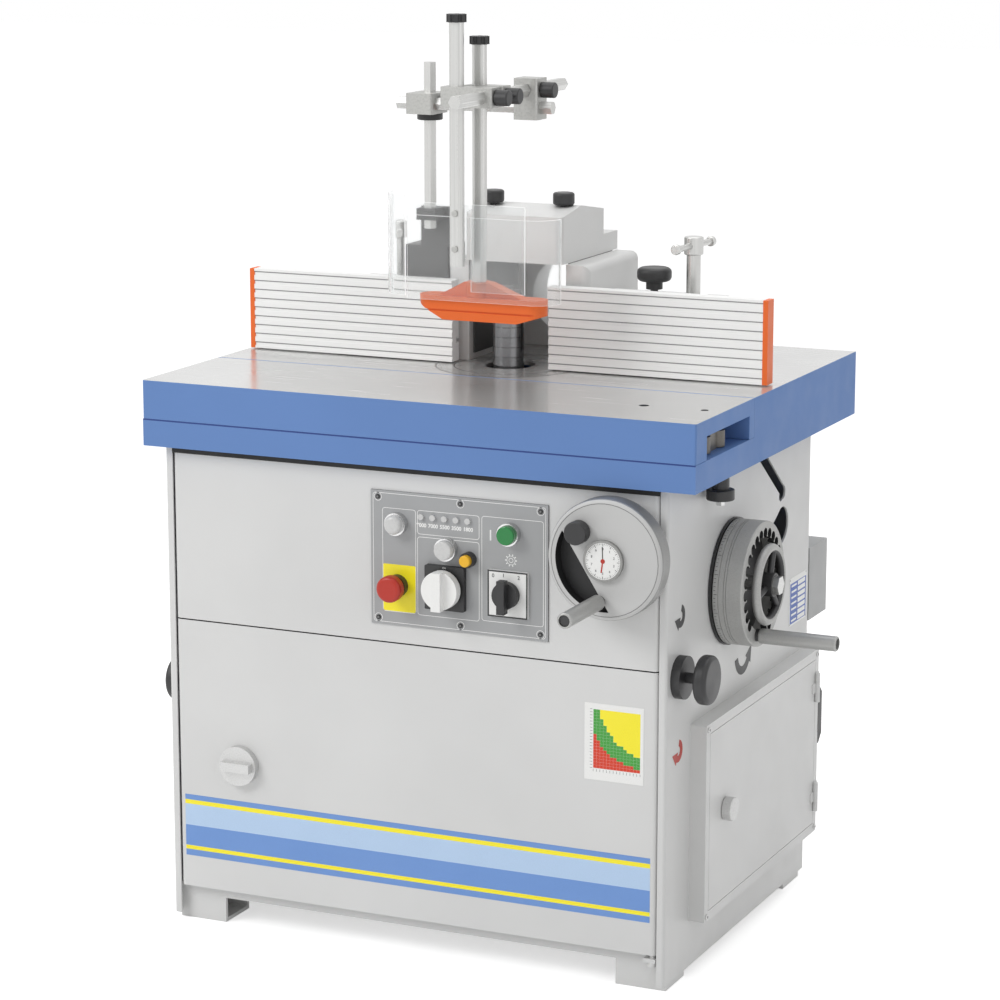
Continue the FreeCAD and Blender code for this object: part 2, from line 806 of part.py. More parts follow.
handle = handle.cut(block(handle_x1 - HANDLE_W - CUT, handle_x1 + CUT, CY - CUT, handle_y1 - HANDLE_BAR,
                          HANDLE_Z + HANDLE_BAR, handle_z1 - HANDLE_BAR))
save("rear_panel", [rear_panel, handle])

# Rear box on a gasket with a cable gland below
rear_x1 = CX - REAR_BOX_INSET
rear_x0 = rear_x1 - REAR_BOX_W
rear_z1 = REAR_BOX_Z + REAR_BOX_H
gasket = block(rear_x0 + GASKET_STEP, rear_x1 - GASKET_STEP, CY, CY + GASKET_T,
               REAR_BOX_Z + GASKET_STEP, rear_z1 - GASKET_STEP)
rear_box = block(rear_x0, rear_x1, CY + GASKET_T, CY + GASKET_T + REAR_BOX_D, REAR_BOX_Z, rear_z1)
rear_box = round_along(rear_box, CAP_EDGE_R, V(0, 0, 1), V(0, 1, 0), CY + REAR_BOX_D / 2)
gland_y = CY + GASKET_T + REAR_BOX_D / 2
gland = rod_z((rear_x0 + rear_x1) / 2, gland_y, GLAND_R, REAR_BOX_Z - GLAND_L, REAR_BOX_Z)
gland = gland.cut(rod_z((rear_x0 + rear_x1) / 2, gland_y, GLAND_R / 2, REAR_BOX_Z - GLAND_L - CUT,
                        REAR_BOX_Z - GLAND_L / 2))
save("rear_box", [gasket, rear_box, gland])

# Base pan with four folded feet
feet_y0 = -CY + FOOT_SETBACK
foot_x1 = CX - SHEET
foot_x0 = foot_x1 - FOOT_W
pan_under = PAN_Z - SHEET
base = [block(-foot_x1, foot_x1, feet_y0, -feet_y0, pan_under, PAN_Z),
        block(-foot_x0, foot_x0, feet_y0, feet_y0 + SHEET, PAN_Z - LIP_H, PAN_Z)]
foot = block(foot_x0, foot_x1, feet_y0, feet_y0 + FOOT_D, 0, pan_under)
foot = foot.cut(block(foot_x0 - CUT, foot_x1 - FOOT_WALL, feet_y0 + FOOT_WALL, feet_y0 + FOOT_D - FOOT_WALL,
                      FOOT_WALL, pan_under))
foot = foot.cut(rod_z(foot_x0 + FOOT_W / 2, feet_y0 + FOOT_D / 2, ANCHOR_R, -CUT, FOOT_WALL + CUT))
base += [foot, mirror_x(foot), mirror_y(foot), mirror_y(mirror_x(foot))]
save("base_frame", [join(base)])


# Front door and upper front panel are folded trays
def tray(z0, z1):
    outer = block(-DOOR_X1, DOOR_X1, -CY, DOOR_BACK_Y, z0, z1)
    outer = round_along(outer, DOOR_EDGE_R, V(0, 0, 1), V(0, -1, 0), CY - DOOR_SHEET)
    inner = block(-DOOR_X1 + DOOR_SHEET, DOOR_X1 - DOOR_SHEET, -CY + DOOR_SHEET, DOOR_BACK_Y + CUT,
                  z0 + DOOR_SHEET, z1 - DOOR_SHEET)
    inner = round_along(inner, DOOR_EDGE_R - DOOR_SHEET, V(0, 0, 1), V(0, -1, 0), CY - 2 * DOOR_SHEET)
    return outer.cut(inner)


door_top = FRONT_SEAM_Z - SEAM
upper_bottom = FRONT_SEAM_Z + SEAM
door_holes = [rod_z(PIVOT_X, PIVOT_Y, HINGE_PIN_R + FIT, DOOR_BOTTOM_Z - CUT, DOOR_BOTTOM_Z + CUT),
              rod_z(PIVOT_X, PIVOT_Y, HINGE_PIN_R + FIT, door_top - CUT, door_top + CUT),
              rod_y(LATCH_X, LATCH_Z, LATCH_STEM_R + FIT, -CY - CUT, -CY + DOOR_SHEET + CUT)]
save("front_door", [cut(tray(DOOR_BOTTOM_Z, door_top), door_holes)])
control_x0 = CONTROL_X - CONTROL_W / 2
control_z0 = CONTROL_Z - CONTROL_H / 2
panel_holes = [block(control_x0 + CONTROL_BORDER, control_x0 + CONTROL_W - CONTROL_BORDER, -CY - CUT,
                     -CY + DOOR_SHEET + CUT, control_z0 + CONTROL_BORDER,
                     control_z0 + CONTROL_H - CONTROL_BORDER),
               rod_z(PIVOT_X, PIVOT_Y, HINGE_PIN_R + FIT, upper_bottom - CUT, upper_bottom + CUT),
               rod_y(WORM_X, WORM_Z, WORM_SHAFT_R + SEAM, -CY - CUT, -CY + DOOR_SHEET + CUT)]
save("upper_front_panel", [cut(tray(upper_bottom, TABLE_BOTTOM - SEAM), panel_holes)])

# Latch of the front door, its cam hangs down when it is released
latch_y1 = DOOR_BACK_Y + GAP + CAM_T
latch = [rod_y(LATCH_X, LATCH_Z, LATCH_R, -CY - LATCH_T, -CY - GAP),
         rod_y(LATCH_X, LATCH_Z, LATCH_STEM_R, -CY - GAP, latch_y1),
         block(LATCH_X - LATCH_R * LATCH_GRIP_SHARE, LATCH_X + LATCH_R * LATCH_GRIP_SHARE,
               -CY - LATCH_T - LATCH_GRIP_H, -CY - LATCH_T,
               LATCH_Z - LATCH_GRIP_W / 2, LATCH_Z + LATCH_GRIP_W / 2),
         block(LATCH_X - CAM_W / 2, LATCH_X + CAM_W / 2, latch_y1 - CAM_T, latch_y1,
               LATCH_Z - CAM_L, LATCH_Z + CAM_W / 2)]
save("front_door_latch", [join(latch)])

# Pivots of the front door and hinges of the switch box
plate_top = DOOR_BOTTOM_Z - HINGE_PLATE_T
pivot = join([block(PIVOT_X - HINGE_PLATE_W / 2, PIVOT_X + HINGE_HEAD_R, PIVOT_Y - HINGE_HEAD_R, feet_y0,
                    plate_top - HINGE_PLATE_T, plate_top),
              rod_z(PIVOT_X, PIVOT_Y, HINGE_PIN_R, plate_top, DOOR_BOTTOM_Z + HINGE_PIN_REACH),
              rod_z(PIVOT_X, PIVOT_Y, HINGE_HEAD_R, plate_top - HINGE_PLATE_T - HINGE_HEAD_H,
                    plate_top - HINGE_PLATE_T)])
top_pin = rod_z(PIVOT_X, PIVOT_Y, HINGE_PIN_R, door_top - HINGE_PIN_REACH, upper_bottom + HINGE_PIN_REACH)
box_face = CX + BOX_PROUD
hinge_x = box_face + BOX_HINGE_OUT
hinge_y = box_in_y1 - SEAM / 2
knuckle_l = BOX_HINGE_L / 3
fixed_hinges = []
door_knuckles = []
leaf_x1 = box_face + BOX_HINGE_OUT / 2
for share in BOX_HINGE_SHARES:
    z0 = BOX_Z0 + BOX_H * share - BOX_HINGE_L / 2
    pin = rod_z(hinge_x, hinge_y, BOX_PIN_R, z0, z0 + BOX_HINGE_L)
    low = rod_z(hinge_x, hinge_y, BOX_HINGE_R, z0, z0 + knuckle_l - GAP)
    top = rod_z(hinge_x, hinge_y, BOX_HINGE_R, z0 + 2 * knuckle_l + GAP, z0 + BOX_HINGE_L)
    leaf_low = block(box_face, leaf_x1, hinge_y, box_y1 - SHEET, z0, z0 + knuckle_l - GAP)
    leaf_top = block(box_face, leaf_x1, hinge_y, box_y1 - SHEET, z0 + 2 * knuckle_l + GAP, z0 + BOX_HINGE_L)
    fixed_hinges.append(join([pin, low, top, leaf_low, leaf_top]))
    middle = rod_z(hinge_x, hinge_y, BOX_HINGE_R, z0 + knuckle_l, z0 + 2 * knuckle_l)
    leaf = block(box_face - BOX_DOOR_T / 2, leaf_x1, hinge_y - BOX_RIM, hinge_y,
                 z0 + knuckle_l, z0 + 2 * knuckle_l)
    leaf = leaf.cut(block(box_face - BOX_DOOR_T, box_face, hinge_y - SEAM, hinge_y + CUT, z0,
                          z0 + BOX_HINGE_L))
    bore = rod_z(hinge_x, hinge_y, BOX_PIN_R + FIT, z0, z0 + BOX_HINGE_L)
    door_knuckles.append((join([middle, leaf]), bore))
save("hinge_pins", [pivot, top_pin] + fixed_hinges)

# Switch box: a rim on the panel and a tub behind it, with contactors on a plate
tub_x0 = CX - BOX_DEPTH
rim = block(CX, box_face, BOX_Y0, box_y1, BOX_Z0, box_z1)
rim = round_along(rim, SHEET, V(1, 0, 0), V(0, 0, 1), 0)
tub = block(tub_x0, box_face, box_in_y0 - SHEET, box_in_y1 + SHEET, box_in_z0 - SHEET, box_in_z1 + SHEET)
hollow = block(tub_x0 + SHEET, box_face + CUT, box_in_y0, box_in_y1, box_in_z0, box_in_z1)
switch_box = join([rim, tub]).cut(hollow)
plate_x = tub_x0 + SHEET
mount_plate = block(plate_x, plate_x + MOUNT_PLATE_T, box_in_y0 + MOUNT_PLATE_INSET,
                    box_in_y1 - MOUNT_PLATE_INSET, box_in_z0 + MOUNT_PLATE_INSET,
                    box_in_z1 - MOUNT_PLATE_INSET)
rail_x = plate_x + MOUNT_PLATE_T
rail_z = (box_in_z0 + box_in_z1) / 2
rail_bar = block(rail_x, rail_x + RAIL_T, box_in_y0 + 2 * MOUNT_PLATE_INSET,
                 box_in_y1 - 2 * MOUNT_PLATE_INSET,
                 rail_z - RAIL_H / 2, rail_z + RAIL_H / 2)
contactors = []
contactor_pitch = (BOX_L - 2 * BOX_RIM - 5 * MOUNT_PLATE_INSET) / CONTACTOR_COUNT
for i in range(CONTACTOR_COUNT):
    y = box_in_y0 + 3 * MOUNT_PLATE_INSET + i * contactor_pitch
    contactors.append(block(rail_x + RAIL_T, rail_x + CONTACTOR_D, y, y + CONTACTOR_W,
                            rail_z - CONTACTOR_H / 2, rail_z + CONTACTOR_H / 2))
latch_y = BOX_Y0 + BOX_L * BOX_LATCH_Y_SHARE
latch_z = BOX_Z0 + BOX_H * BOX_LATCH_Z_SHARE
stem_x0 = box_face - 2 * BOX_DOOR_FLANGE
keeper_x = stem_x0 + CAM_T + SEAM
keeper = block(keeper_x, keeper_x + KEEPER_T, box_in_y0, box_in_y0 + KEEPER_L, latch_z - KEEPER_H / 2,
               latch_z + KEEPER_H / 2)
save("switch_box", [join([switch_box, keeper]), mount_plate, rail_bar] + contactors)

# Door of the switch box with its knuckles, and its latch
door_y0, door_y1 = box_in_y0 + SEAM, box_in_y1 - SEAM
door_z0, door_z1 = box_in_z0 + SEAM, box_in_z1 - SEAM
box_door = block(box_face - BOX_DOOR_FLANGE, box_face, door_y0, door_y1, door_z0, door_z1)
box_door = box_door.cut(block(box_face - BOX_DOOR_FLANGE - CUT, box_face - BOX_DOOR_T, door_y0 + BOX_DOOR_T,
                              door_y1 - BOX_DOOR_T, door_z0 + BOX_DOOR_T, door_z1 - BOX_DOOR_T))
box_door = cut(join([box_door] + [k for k, b in door_knuckles]), [b for k, b in door_knuckles])
box_door = box_door.cut(rod_x(latch_y, latch_z, BOX_LATCH_STEM_R + FIT, box_face - BOX_DOOR_T - CUT,
                              box_face + CUT))
save("switch_box_door", [box_door])
box_latch = join([knob(rod_x(latch_y, latch_z, BOX_LATCH_R, box_face + GAP, box_face + BOX_LATCH_T),
                       CAP_EDGE_R),
                  rod_x(latch_y, latch_z, BOX_LATCH_STEM_R, stem_x0, box_face + BOX_LATCH_T / 2),
                  block(stem_x0, stem_x0 + CAM_T, latch_y - CAM_W / 2, latch_y + CAM_W / 2,
                        latch_z - BOX_CAM_L, latch_z + CAM_W / 2)])
save("switch_box_latch", [box_latch])

# Control panel: a plate with bezels, lamps and switch bases
face = -CY - CONTROL_T


def place(shares):
    return CONTROL_X + CONTROL_W * shares[0], CONTROL_Z + CONTROL_H * shares[1]


def barrel(x, z, bezel_r, bezel_h):
    body = join([rod_y(x, z, bezel_r, face - bezel_h, face), rod_y(x, z, BARREL_R, face, face + BARREL_L)])
    pocket = rod_y(x, z, bezel_r - CAP_WALL, face - bezel_h - CUT, face - BEZEL_FLOOR)
    bore = rod_y(x, z, STEM_R + BARREL_GAP, face - bezel_h - CUT, face + BARREL_L + CUT)
    return cut(body, [pocket, bore])


def push_cap(x, z, bezel_r, out):
    r = bezel_r - CAP_WALL - CAP_GAP
    head = knob(rod_y(x, z, r, face - BEZEL_H - out, face - BEZEL_FLOOR - CAP_TRAVEL - SEAM), CAP_EDGE_R)
    return join([head, rod_y(x, z, STEM_R, face - BEZEL_H, face + BARREL_L - CAP_TRAVEL)])


plate_holes = []
control_solids = []
buttons = ((START_SHARES, BEZEL_R, "start_button"), (RESET_SHARES, BEZEL_R, "reset_button"),
           (RELEASE_SHARES, SMALL_BEZEL_R, "release_button"), (STOP_SHARES, BEZEL_R, "emergency_stop"))
for shares, bezel_r, name in buttons:
    x, z = place(shares)
    plate_holes.append(rod_y(x, z, BARREL_R + BARREL_GAP, face - CUT, face + CUT))
    control_solids.append(barrel(x, z, bezel_r, BEZEL_H))
    cap = push_cap(x, z, bezel_r, CAP_OUT)
    if name == "emergency_stop":
        head_y1 = face - BEZEL_H - CAP_OUT
        head = rod_y(x, z, MUSHROOM_R, head_y1 - MUSHROOM_H, head_y1)
        cap = join([cap, round_where(head, MUSHROOM_EDGE_R,
                                     lambda e: e.CenterOfMass.y < head_y1 - MUSHROOM_H / 2
                                     and len(e.Vertexes) == 1)])
    save(name, [cap])
lamp_x, lamp_z = place(LAMP_SHARES)
plate_holes.append(rod_y(lamp_x, lamp_z, BARREL_R + BARREL_GAP, face - CUT, face + CUT))
lamp_ring = join([rod_y(lamp_x, lamp_z, BEZEL_R, face - BEZEL_H, face),
                  rod_y(lamp_x, lamp_z, BARREL_R, face, face + BARREL_L)])
lens_r = BEZEL_R - CAP_WALL
lamp_ring = lamp_ring.cut(rod_y(lamp_x, lamp_z, lens_r, face - BEZEL_H - CUT, face - BEZEL_FLOOR))
lens = rod_y(lamp_x, lamp_z, lens_r, face - BEZEL_H - LAMP_OUT, face - BEZEL_FLOOR)
lens = round_where(lens, MUSHROOM_EDGE_R,
                   lambda e: e.CenterOfMass.y < face - BEZEL_H and len(e.Vertexes) == 1)
control_solids += [lamp_ring, lens]
led_x, led_z = place(LED_START_SHARES)
for i in range(LED_COUNT):
    x = led_x + i * LED_PITCH
    plate_holes.append(rod_y(x, led_z, LED_R, face - CUT, face + CUT))
    control_solids.append(rod_y(x, led_z, LED_R, face - LED_T, face + LED_T))
for shares, w, h, t in ((MAIN_SHARES, MAIN_BASE_W, MAIN_BASE_H, MAIN_BASE_T),
                        (SELECTOR_SHARES, SELECTOR_W, SELECTOR_H, SELECTOR_T)):
    x, z = place(shares)
    base_block = block(x - w / 2, x + w / 2, face - t, face, z - h / 2, z + h / 2)
    base_block = round_where(base_block, CAP_EDGE_R, lambda e: along(e, V(0, 1, 0)))
    bore = rod_y(x, z, SWITCH_SHAFT_R + FIT, face - t - CUT, face + CUT)
    control_solids.append(base_block.cut(bore))
    plate_holes.append(rod_y(x, z, SWITCH_SHAFT_R + GAP, face - CUT, face + CUT))
control_plate = block(control_x0, control_x0 + CONTROL_W, face, -CY, control_z0, control_z0 + CONTROL_H)
save("control_panel", [cut(control_plate, plate_holes)] + control_solids)
main_x, main_z = place(MAIN_SHARES)
disc_y1 = face - MAIN_BASE_T - MAIN_DISC_GAP
disc_y0 = disc_y1 - MAIN_DISC_T
main_handle = join([rod_y(main_x, main_z, MAIN_DISC_R, disc_y0, disc_y1),
                    rod_y(main_x, main_z, SWITCH_SHAFT_R, disc_y1, disc_y1 + SWITCH_SHAFT_L),
                    block(main_x - MAIN_BAR_W / 2, main_x + MAIN_BAR_W / 2, disc_y0 - MAIN_BAR_H, disc_y0,
                          main_z - MAIN_DISC_R, main_z + MAIN_DISC_R)])
save("main_switch_handle", [main_handle])
sel_x, sel_z = place(SELECTOR_SHARES)
sel_y1 = face - SELECTOR_T - SELECTOR_GAP
sel_y0 = sel_y1 - SELECTOR_DISC_T
selector = join([rod_y(sel_x, sel_z, SELECTOR_R, sel_y0, sel_y1),
                 rod_y(sel_x, sel_z, SWITCH_SHAFT_R, sel_y1, sel_y1 + SWITCH_SHAFT_L),
                 block(sel_x - SELECTOR_BAR_W / 2, sel_x + SELECTOR_BAR_W / 2, sel_y0 - SELECTOR_BAR_H,
                       sel_y0,
                       sel_z - SELECTOR_BAR_L / 2, sel_z + SELECTOR_BAR_L / 2)])
save("selector_knob", [selector])

# Cast table with skirts, a shelf for the sliding table and ribs on the cabinet walls
plate_z = TABLE_TOP - PLATE_T
shelf_z = SHELF_TOP - SHELF_T
table = [block(TX0, TX1, PLATE_Y0, TY1, plate_z, TABLE_TOP),
         block(TX0, TX0 + SKIRT_T, PLATE_Y0, TY1, TABLE_BOTTOM, plate_z),
         block(TX1 - SKIRT_T, TX1, PLATE_Y0, TY1, TABLE_BOTTOM, plate_z),
         block(TX0, TX1, TY1 - SKIRT_T, TY1, TABLE_BOTTOM, plate_z),
         block(TX0, TX1, PLATE_Y0, PLATE_Y0 + SKIRT_T, shelf_z, plate_z),
         block(TX0, TX1, TY0, PLATE_Y0 + SKIRT_T, shelf_z, SHELF_TOP),
         block(TX0, TX1, TY0, TY0 + SKIRT_T, TABLE_BOTTOM, SHELF_TOP),
         block(TX0, TX0 + SKIRT_T, TY0, PLATE_Y0, TABLE_BOTTOM, SHELF_TOP),
         block(TX1 - SKIRT_T, TX1, TY0, PLATE_Y0, TABLE_BOTTOM, SHELF_TOP)]
for x0 in (-CX, CX - SKIRT_T):
    table.append(block(x0, x0 + SKIRT_T, PLATE_Y0, TY1 - SKIRT_T, TABLE_BOTTOM, plate_z))
    table.append(block(x0, x0 + SKIRT_T, TY0 + SKIRT_T, PLATE_Y0, TABLE_BOTTOM, shelf_z))
table = join(table)
clamp_places = (SPX - CLAMP_LEFT, SPX + CLAMP_RIGHT)
table_cuts = [rod_z(SPX, SPY, RING_R, TABLE_TOP - RING_H, TABLE_TOP + CUT),
              slot_z(SPX, SPY, SPY + RING_BACK, RING_BORE_R, plate_z - CUT, TABLE_TOP - RING_H)]
for x in clamp_places:
    table_cuts.append(rod_z(x, SPY + CLAMP_Y, CLAMP_R + FIT, plate_z - CUT, TABLE_TOP + CUT))
table = cut(table, table_cuts)
slide_mid_y = (TY0 + SLIDE_Y1) / 2
rail = block(TX0 + RAIL_INSET, TX1 - RAIL_INSET, slide_mid_y - RAIL_W / 2, slide_mid_y + RAIL_W / 2,
             SHELF_TOP, SHELF_TOP + RAIL_TALL)
stop_x = (CX + TX1) / 2
stop_y = TY0 + STOP_FRONT
stop_z1 = TABLE_BOTTOM - STOP_NECK_L
stop_z0 = stop_z1 - STOP_T
stop = join([rod_z(stop_x, stop_y, STOP_NECK_R, stop_z1, TABLE_BOTTOM),
             knob(rod_z(stop_x, stop_y, STOP_R, stop_z0, stop_z1), CAP_EDGE_R)])
stop_bolt = hex_z(stop_x, stop_y, STOP_BOLT_AF, stop_z0 - STOP_BOLT_T, stop_z0)
save("main_table", [table, rail, stop, stop_bolt])

# Table rings around the spindle
outer_ring = rod_z(SPX, SPY, RING_R - RING_GAP, TABLE_TOP - RING_H, TABLE_TOP)
outer_ring = cut(outer_ring, [rod_z(SPX, SPY, LEDGE_R, TABLE_TOP - RING_H - CUT, TABLE_TOP + CUT),
                              rod_z(SPX, SPY, INNER_RING_R + RING_GAP, TABLE_TOP - RING_H + LEDGE_H,
                                    TABLE_TOP + CUT)])
inner_ring = rod_z(SPX, SPY, INNER_RING_R, TABLE_TOP - RING_H + LEDGE_H, TABLE_TOP)
inner_ring = inner_ring.cut(slot_z(SPX, SPY, SPY + RING_HOLE_BACK, RING_HOLE_R, TABLE_TOP - RING_H,
                                   TABLE_TOP + CUT))
save("table_rings", [outer_ring, inner_ring])

# Sliding table: a channel with round guide posts on both sides of the rail
slide = block(TX0, TX1, TY0, SLIDE_Y1, SLIDE_Z0, TABLE_TOP)
slide = round_along(slide, SLIDE_EDGE_R, V(0, 0, 1), V(0, -1, 0), -TY0 - SLIDE_EDGE_R)
pocket_y = [TY0 + SLIDE_W * s for s in SLIDE_POCKET_Y_SHARES]
slide = slide.cut(block(TX0 - CUT, TX1 + CUT, pocket_y[0], pocket_y[1], SLIDE_Z0 - CUT,
                        SLIDE_Z0 + SLIDE_POCKET_H))
hole_y = TY0 + SLIDE_W * SLIDE_HOLE_Y_SHARE
for hole_inset, hole_r in SLIDE_HOLES:
    slide = slide.cut(rod_z(TX1 - hole_inset, hole_y, hole_r, SLIDE_Z0, TABLE_TOP + CUT))
posts = []
post_z0 = SHELF_TOP + SLIDE_GAP + SEAM
ceiling = SLIDE_Z0 + SLIDE_POCKET_H
for share in POST_SHARES:
    x = TX0 + TABLE_L * share
    for side in (-1, 1):
        y = slide_mid_y + side * (RAIL_W / 2 + POST_SLIDE_R + GAP)
        posts.append(join([rod_z(x, y, POST_SLIDE_R, post_z0, post_z0 + POST_SLIDE_H),
                           rod_z(x, y, POST_NECK_R, post_z0 + POST_SLIDE_H, ceiling)]))
save("sliding_table", [slide] + posts)

# Tilt guides under the table, and the rear bearing of the worm shaft
cradle_out = CRADLE_IN + CRADLE_T
guide_in = cradle_out + GUIDE_GAP
slot_deg0 = -TONGUE_SPAN_DEG - SLOT_SPARE_DEG
slot_deg1 = TONGUE_SPAN_DEG + TILT_DEG + SLOT_SPARE_DEG


def tilt_guide():
    x0 = SPX + guide_in
    x1 = x0 + GUIDE_T
    disc = rod_x(SPY, TABLE_TOP, GUIDE_R, x0, x1)
    disc = disc.common(block(x0, x1, SPY - GUIDE_FRONT, SPY + GUIDE_R, TABLE_TOP - GUIDE_R, plate_z))
    groove = sector_x(TONGUE_R0 - GAP, TONGUE_R1 + GAP, slot_deg0, slot_deg1, x0 - CUT, x1 + CUT)
    arc_guide = disc.cut(groove)
    feet_y = SPY + GUIDE_R * math.sin(math.acos(PLATE_T / GUIDE_R))
    foot_bar = block(x0, x0 + GUIDE_FOOT_W, SPY - GUIDE_FRONT, SPY, plate_z - GUIDE_FOOT_T, plate_z)
    back_bar = block(x1, x0 + GUIDE_FOOT_W, SPY, feet_y, plate_z - GUIDE_FOOT_T, plate_z)
    return join([arc_guide, foot_bar, back_bar])


def about_spindle(shape):
    return shape.mirror(V(SPX, 0, 0), V(1, 0, 0))


hanger_y = SPY + HANGER_Y
hanger_x = WORM_X + HANGER_HALF
hanger = join([block(WORM_X - HANGER_HALF, hanger_x, hanger_y, hanger_y + HANGER_T, WORM_Z - HANGER_HALF,
                     WORM_Z + HANGER_HALF),
               block(hanger_x, hanger_x + HANGER_T, hanger_y, hanger_y + HANGER_T, WORM_Z - HANGER_HALF,
                     plate_z)])
hanger = hanger.cut(rod_y(WORM_X, WORM_Z, WORM_SHAFT_R + FIT, hanger_y - CUT, hanger_y + HANGER_T + CUT))
front_bearing = join([rod_y(WORM_X, WORM_Z, WORM_BEARING_R, -CY - WORM_BEARING_T, -CY),
                      rod_y(WORM_X, WORM_Z, WORM_SHAFT_R + SEAM, -CY, -CY + WORM_BEARING_BACK)])
front_bearing = front_bearing.cut(rod_y(WORM_X, WORM_Z, WORM_SHAFT_R + FIT, -CY - WORM_BEARING_T - CUT,
                                        -CY + WORM_BEARING_BACK + CUT))
save("tilt_guides", [tilt_guide(), about_spindle(tilt_guide()), hanger, front_bearing])

# Tilting cradle: two plates with tongues, ties, a torque tube, the toothed sector and the index ring
cradle_z0 = TABLE_TOP - CRADLE_BOTTOM_DROP
cradle_z1 = TABLE_TOP - CRADLE_TOP_DROP


def cradle_plate(front):
    x0, x1 = SPX + CRADLE_IN, SPX + cradle_out
    plate = [block(x0, x1, SPY - front, SPY + CRADLE_BACK, cradle_z0, cradle_z1),
             sector_x(TONGUE_R0, TONGUE_R1, -TONGUE_SPAN_DEG, TONGUE_SPAN_DEG, x0, x1 + TONGUE_DEPTH),
             block(x0 - GUIDE_RAIL_D, x0, SPY - GUIDE_RAIL_W / 2, SPY + GUIDE_RAIL_W / 2, cradle_z0,
                   cradle_z1)]
    lug_z1 = TABLE_TOP - TIE_DROPS[0] + TIE_LUG
    lug_z0 = TABLE_TOP - TIE_DROPS[1] - TIE_LUG
    plate.append(block(x0, x1, SPY, SPY + TIE_BACK + TIE_LUG, lug_z0, lug_z1))
    return join(plate)


tube_a = math.radians(TUBE_DEG)
tube_y = SPY + TUBE_RADIUS * math.sin(tube_a)
tube_z = TABLE_TOP - TUBE_RADIUS * math.cos(tube_a)
sector_r = WORM_DROP - WORM_R - WORM_MESH_GAP
sector_x0 = WORM_X - SECTOR_T / 2
sector_deg0 = -TILT_DEG - SECTOR_SPARE_DEG
sector = sector_x(SECTOR_R0, sector_r, sector_deg0, SECTOR_SPARE_DEG, sector_x0, sector_x0 + SECTOR_T)
notches = []
notch_count = int((SECTOR_SPARE_DEG - sector_deg0) / SECTOR_NOTCH_DEG)
for i in range(notch_count):
    a = math.radians(sector_deg0 + (i + 0.5) * SECTOR_NOTCH_DEG)
    notches.append(rod_x(SPY + sector_r * math.sin(a), TABLE_TOP - sector_r * math.cos(a), SECTOR_NOTCH_R,
                         sector_x0 - CUT, sector_x0 + SECTOR_T + CUT))
sector = cut(sector, notches)
screw_lugs = []
for drop in (SCREW_TOP_DROP, SCREW_BOTTOM_DROP):
    z1 = TABLE_TOP - drop
    lug = block(SCREW_X - SCREW_LUG_HALF, SPX + CRADLE_IN, HEIGHT_Y - SCREW_LUG_HALF,
                HEIGHT_Y + SCREW_LUG_HALF,
                z1 - SCREW_LUG_T, z1)
    screw_lugs.append(lug)
low_lug_z1 = TABLE_TOP - SCREW_BOTTOM_DROP
screw_lugs.append(block(SPX + CRADLE_IN, SPX + cradle_out, HEIGHT_Y - SCREW_LUG_HALF,
                        HEIGHT_Y + SCREW_LUG_HALF,
                        low_lug_z1 - SCREW_LUG_T, cradle_z0))
ring_x0 = CX + INDEX_GAP
tube_end = ring_x0 + INDEX_T
bearing_tube = rod_x(HEIGHT_Y, HEIGHT_Z, HEIGHT_TUBE_R, SPX + CRADLE_IN, tube_end)
ties = [rod_x(SPY + TIE_BACK, TABLE_TOP - d, TIE_R, SPX - cradle_out, SPX + cradle_out) for d in TIE_DROPS]
cradle = join([cradle_plate(CRADLE_FRONT), about_spindle(cradle_plate(CRADLE_BACK)), sector, bearing_tube,
               rod_x(tube_y, tube_z, TUBE_R, SPX + CRADLE_IN, sector_x0 + SECTOR_T)] + ties + screw_lugs)
cradle = cut(cradle, [rod_x(HEIGHT_Y, HEIGHT_Z, HEIGHT_SHAFT_R + FIT, SPX + CRADLE_IN - CUT, tube_end + CUT),
                      rod_z(SCREW_X, HEIGHT_Y, SCREW_R + FIT, low_lug_z1 - SCREW_LUG_T - CUT,
                            TABLE_TOP - SCREW_TOP_DROP + CUT)])
index_ring = rod_x(HEIGHT_Y, HEIGHT_Z, INDEX_R, ring_x0, tube_end)
index_ring = index_ring.cut(rod_x(HEIGHT_Y, HEIGHT_Z, HEIGHT_TUBE_R, ring_x0 - CUT, tube_end + CUT))
save("tilt_cradle", [cradle, index_ring])

# Worm shaft with grooves for the thread
worm_y0, worm_y1 = SPY - WORM_FRONT, SPY + WORM_BACK
worm = rod_y(WORM_X, WORM_Z, WORM_R, worm_y0, worm_y1)
worm_grooves = []
groove_count = int((WORM_FRONT + WORM_BACK) / WORM_GROOVE_PITCH)
for i in range(groove_count):
    y = worm_y0 + (i + 0.5) * WORM_GROOVE_PITCH
    ring = rod_y(WORM_X, WORM_Z, WORM_R + CUT, y, y + WORM_GROOVE)
    worm_grooves.append(ring.cut(rod_y(WORM_X, WORM_Z, WORM_SHAFT_R + SEAM, y - CUT, y + WORM_GROOVE + CUT)))
wheel_y1 = -CY - WHEEL_OUT
wheel_y0 = wheel_y1 - WHEEL_T
shaft_y0 = wheel_y0 + INDICATOR_DEEP
worm_shaft = join([cut(worm, worm_grooves),
                   rod_y(WORM_X, WORM_Z, WORM_SHAFT_R, shaft_y0, hanger_y + HANGER_T + SEAM)])
save("tilt_worm_shaft", [worm_shaft])

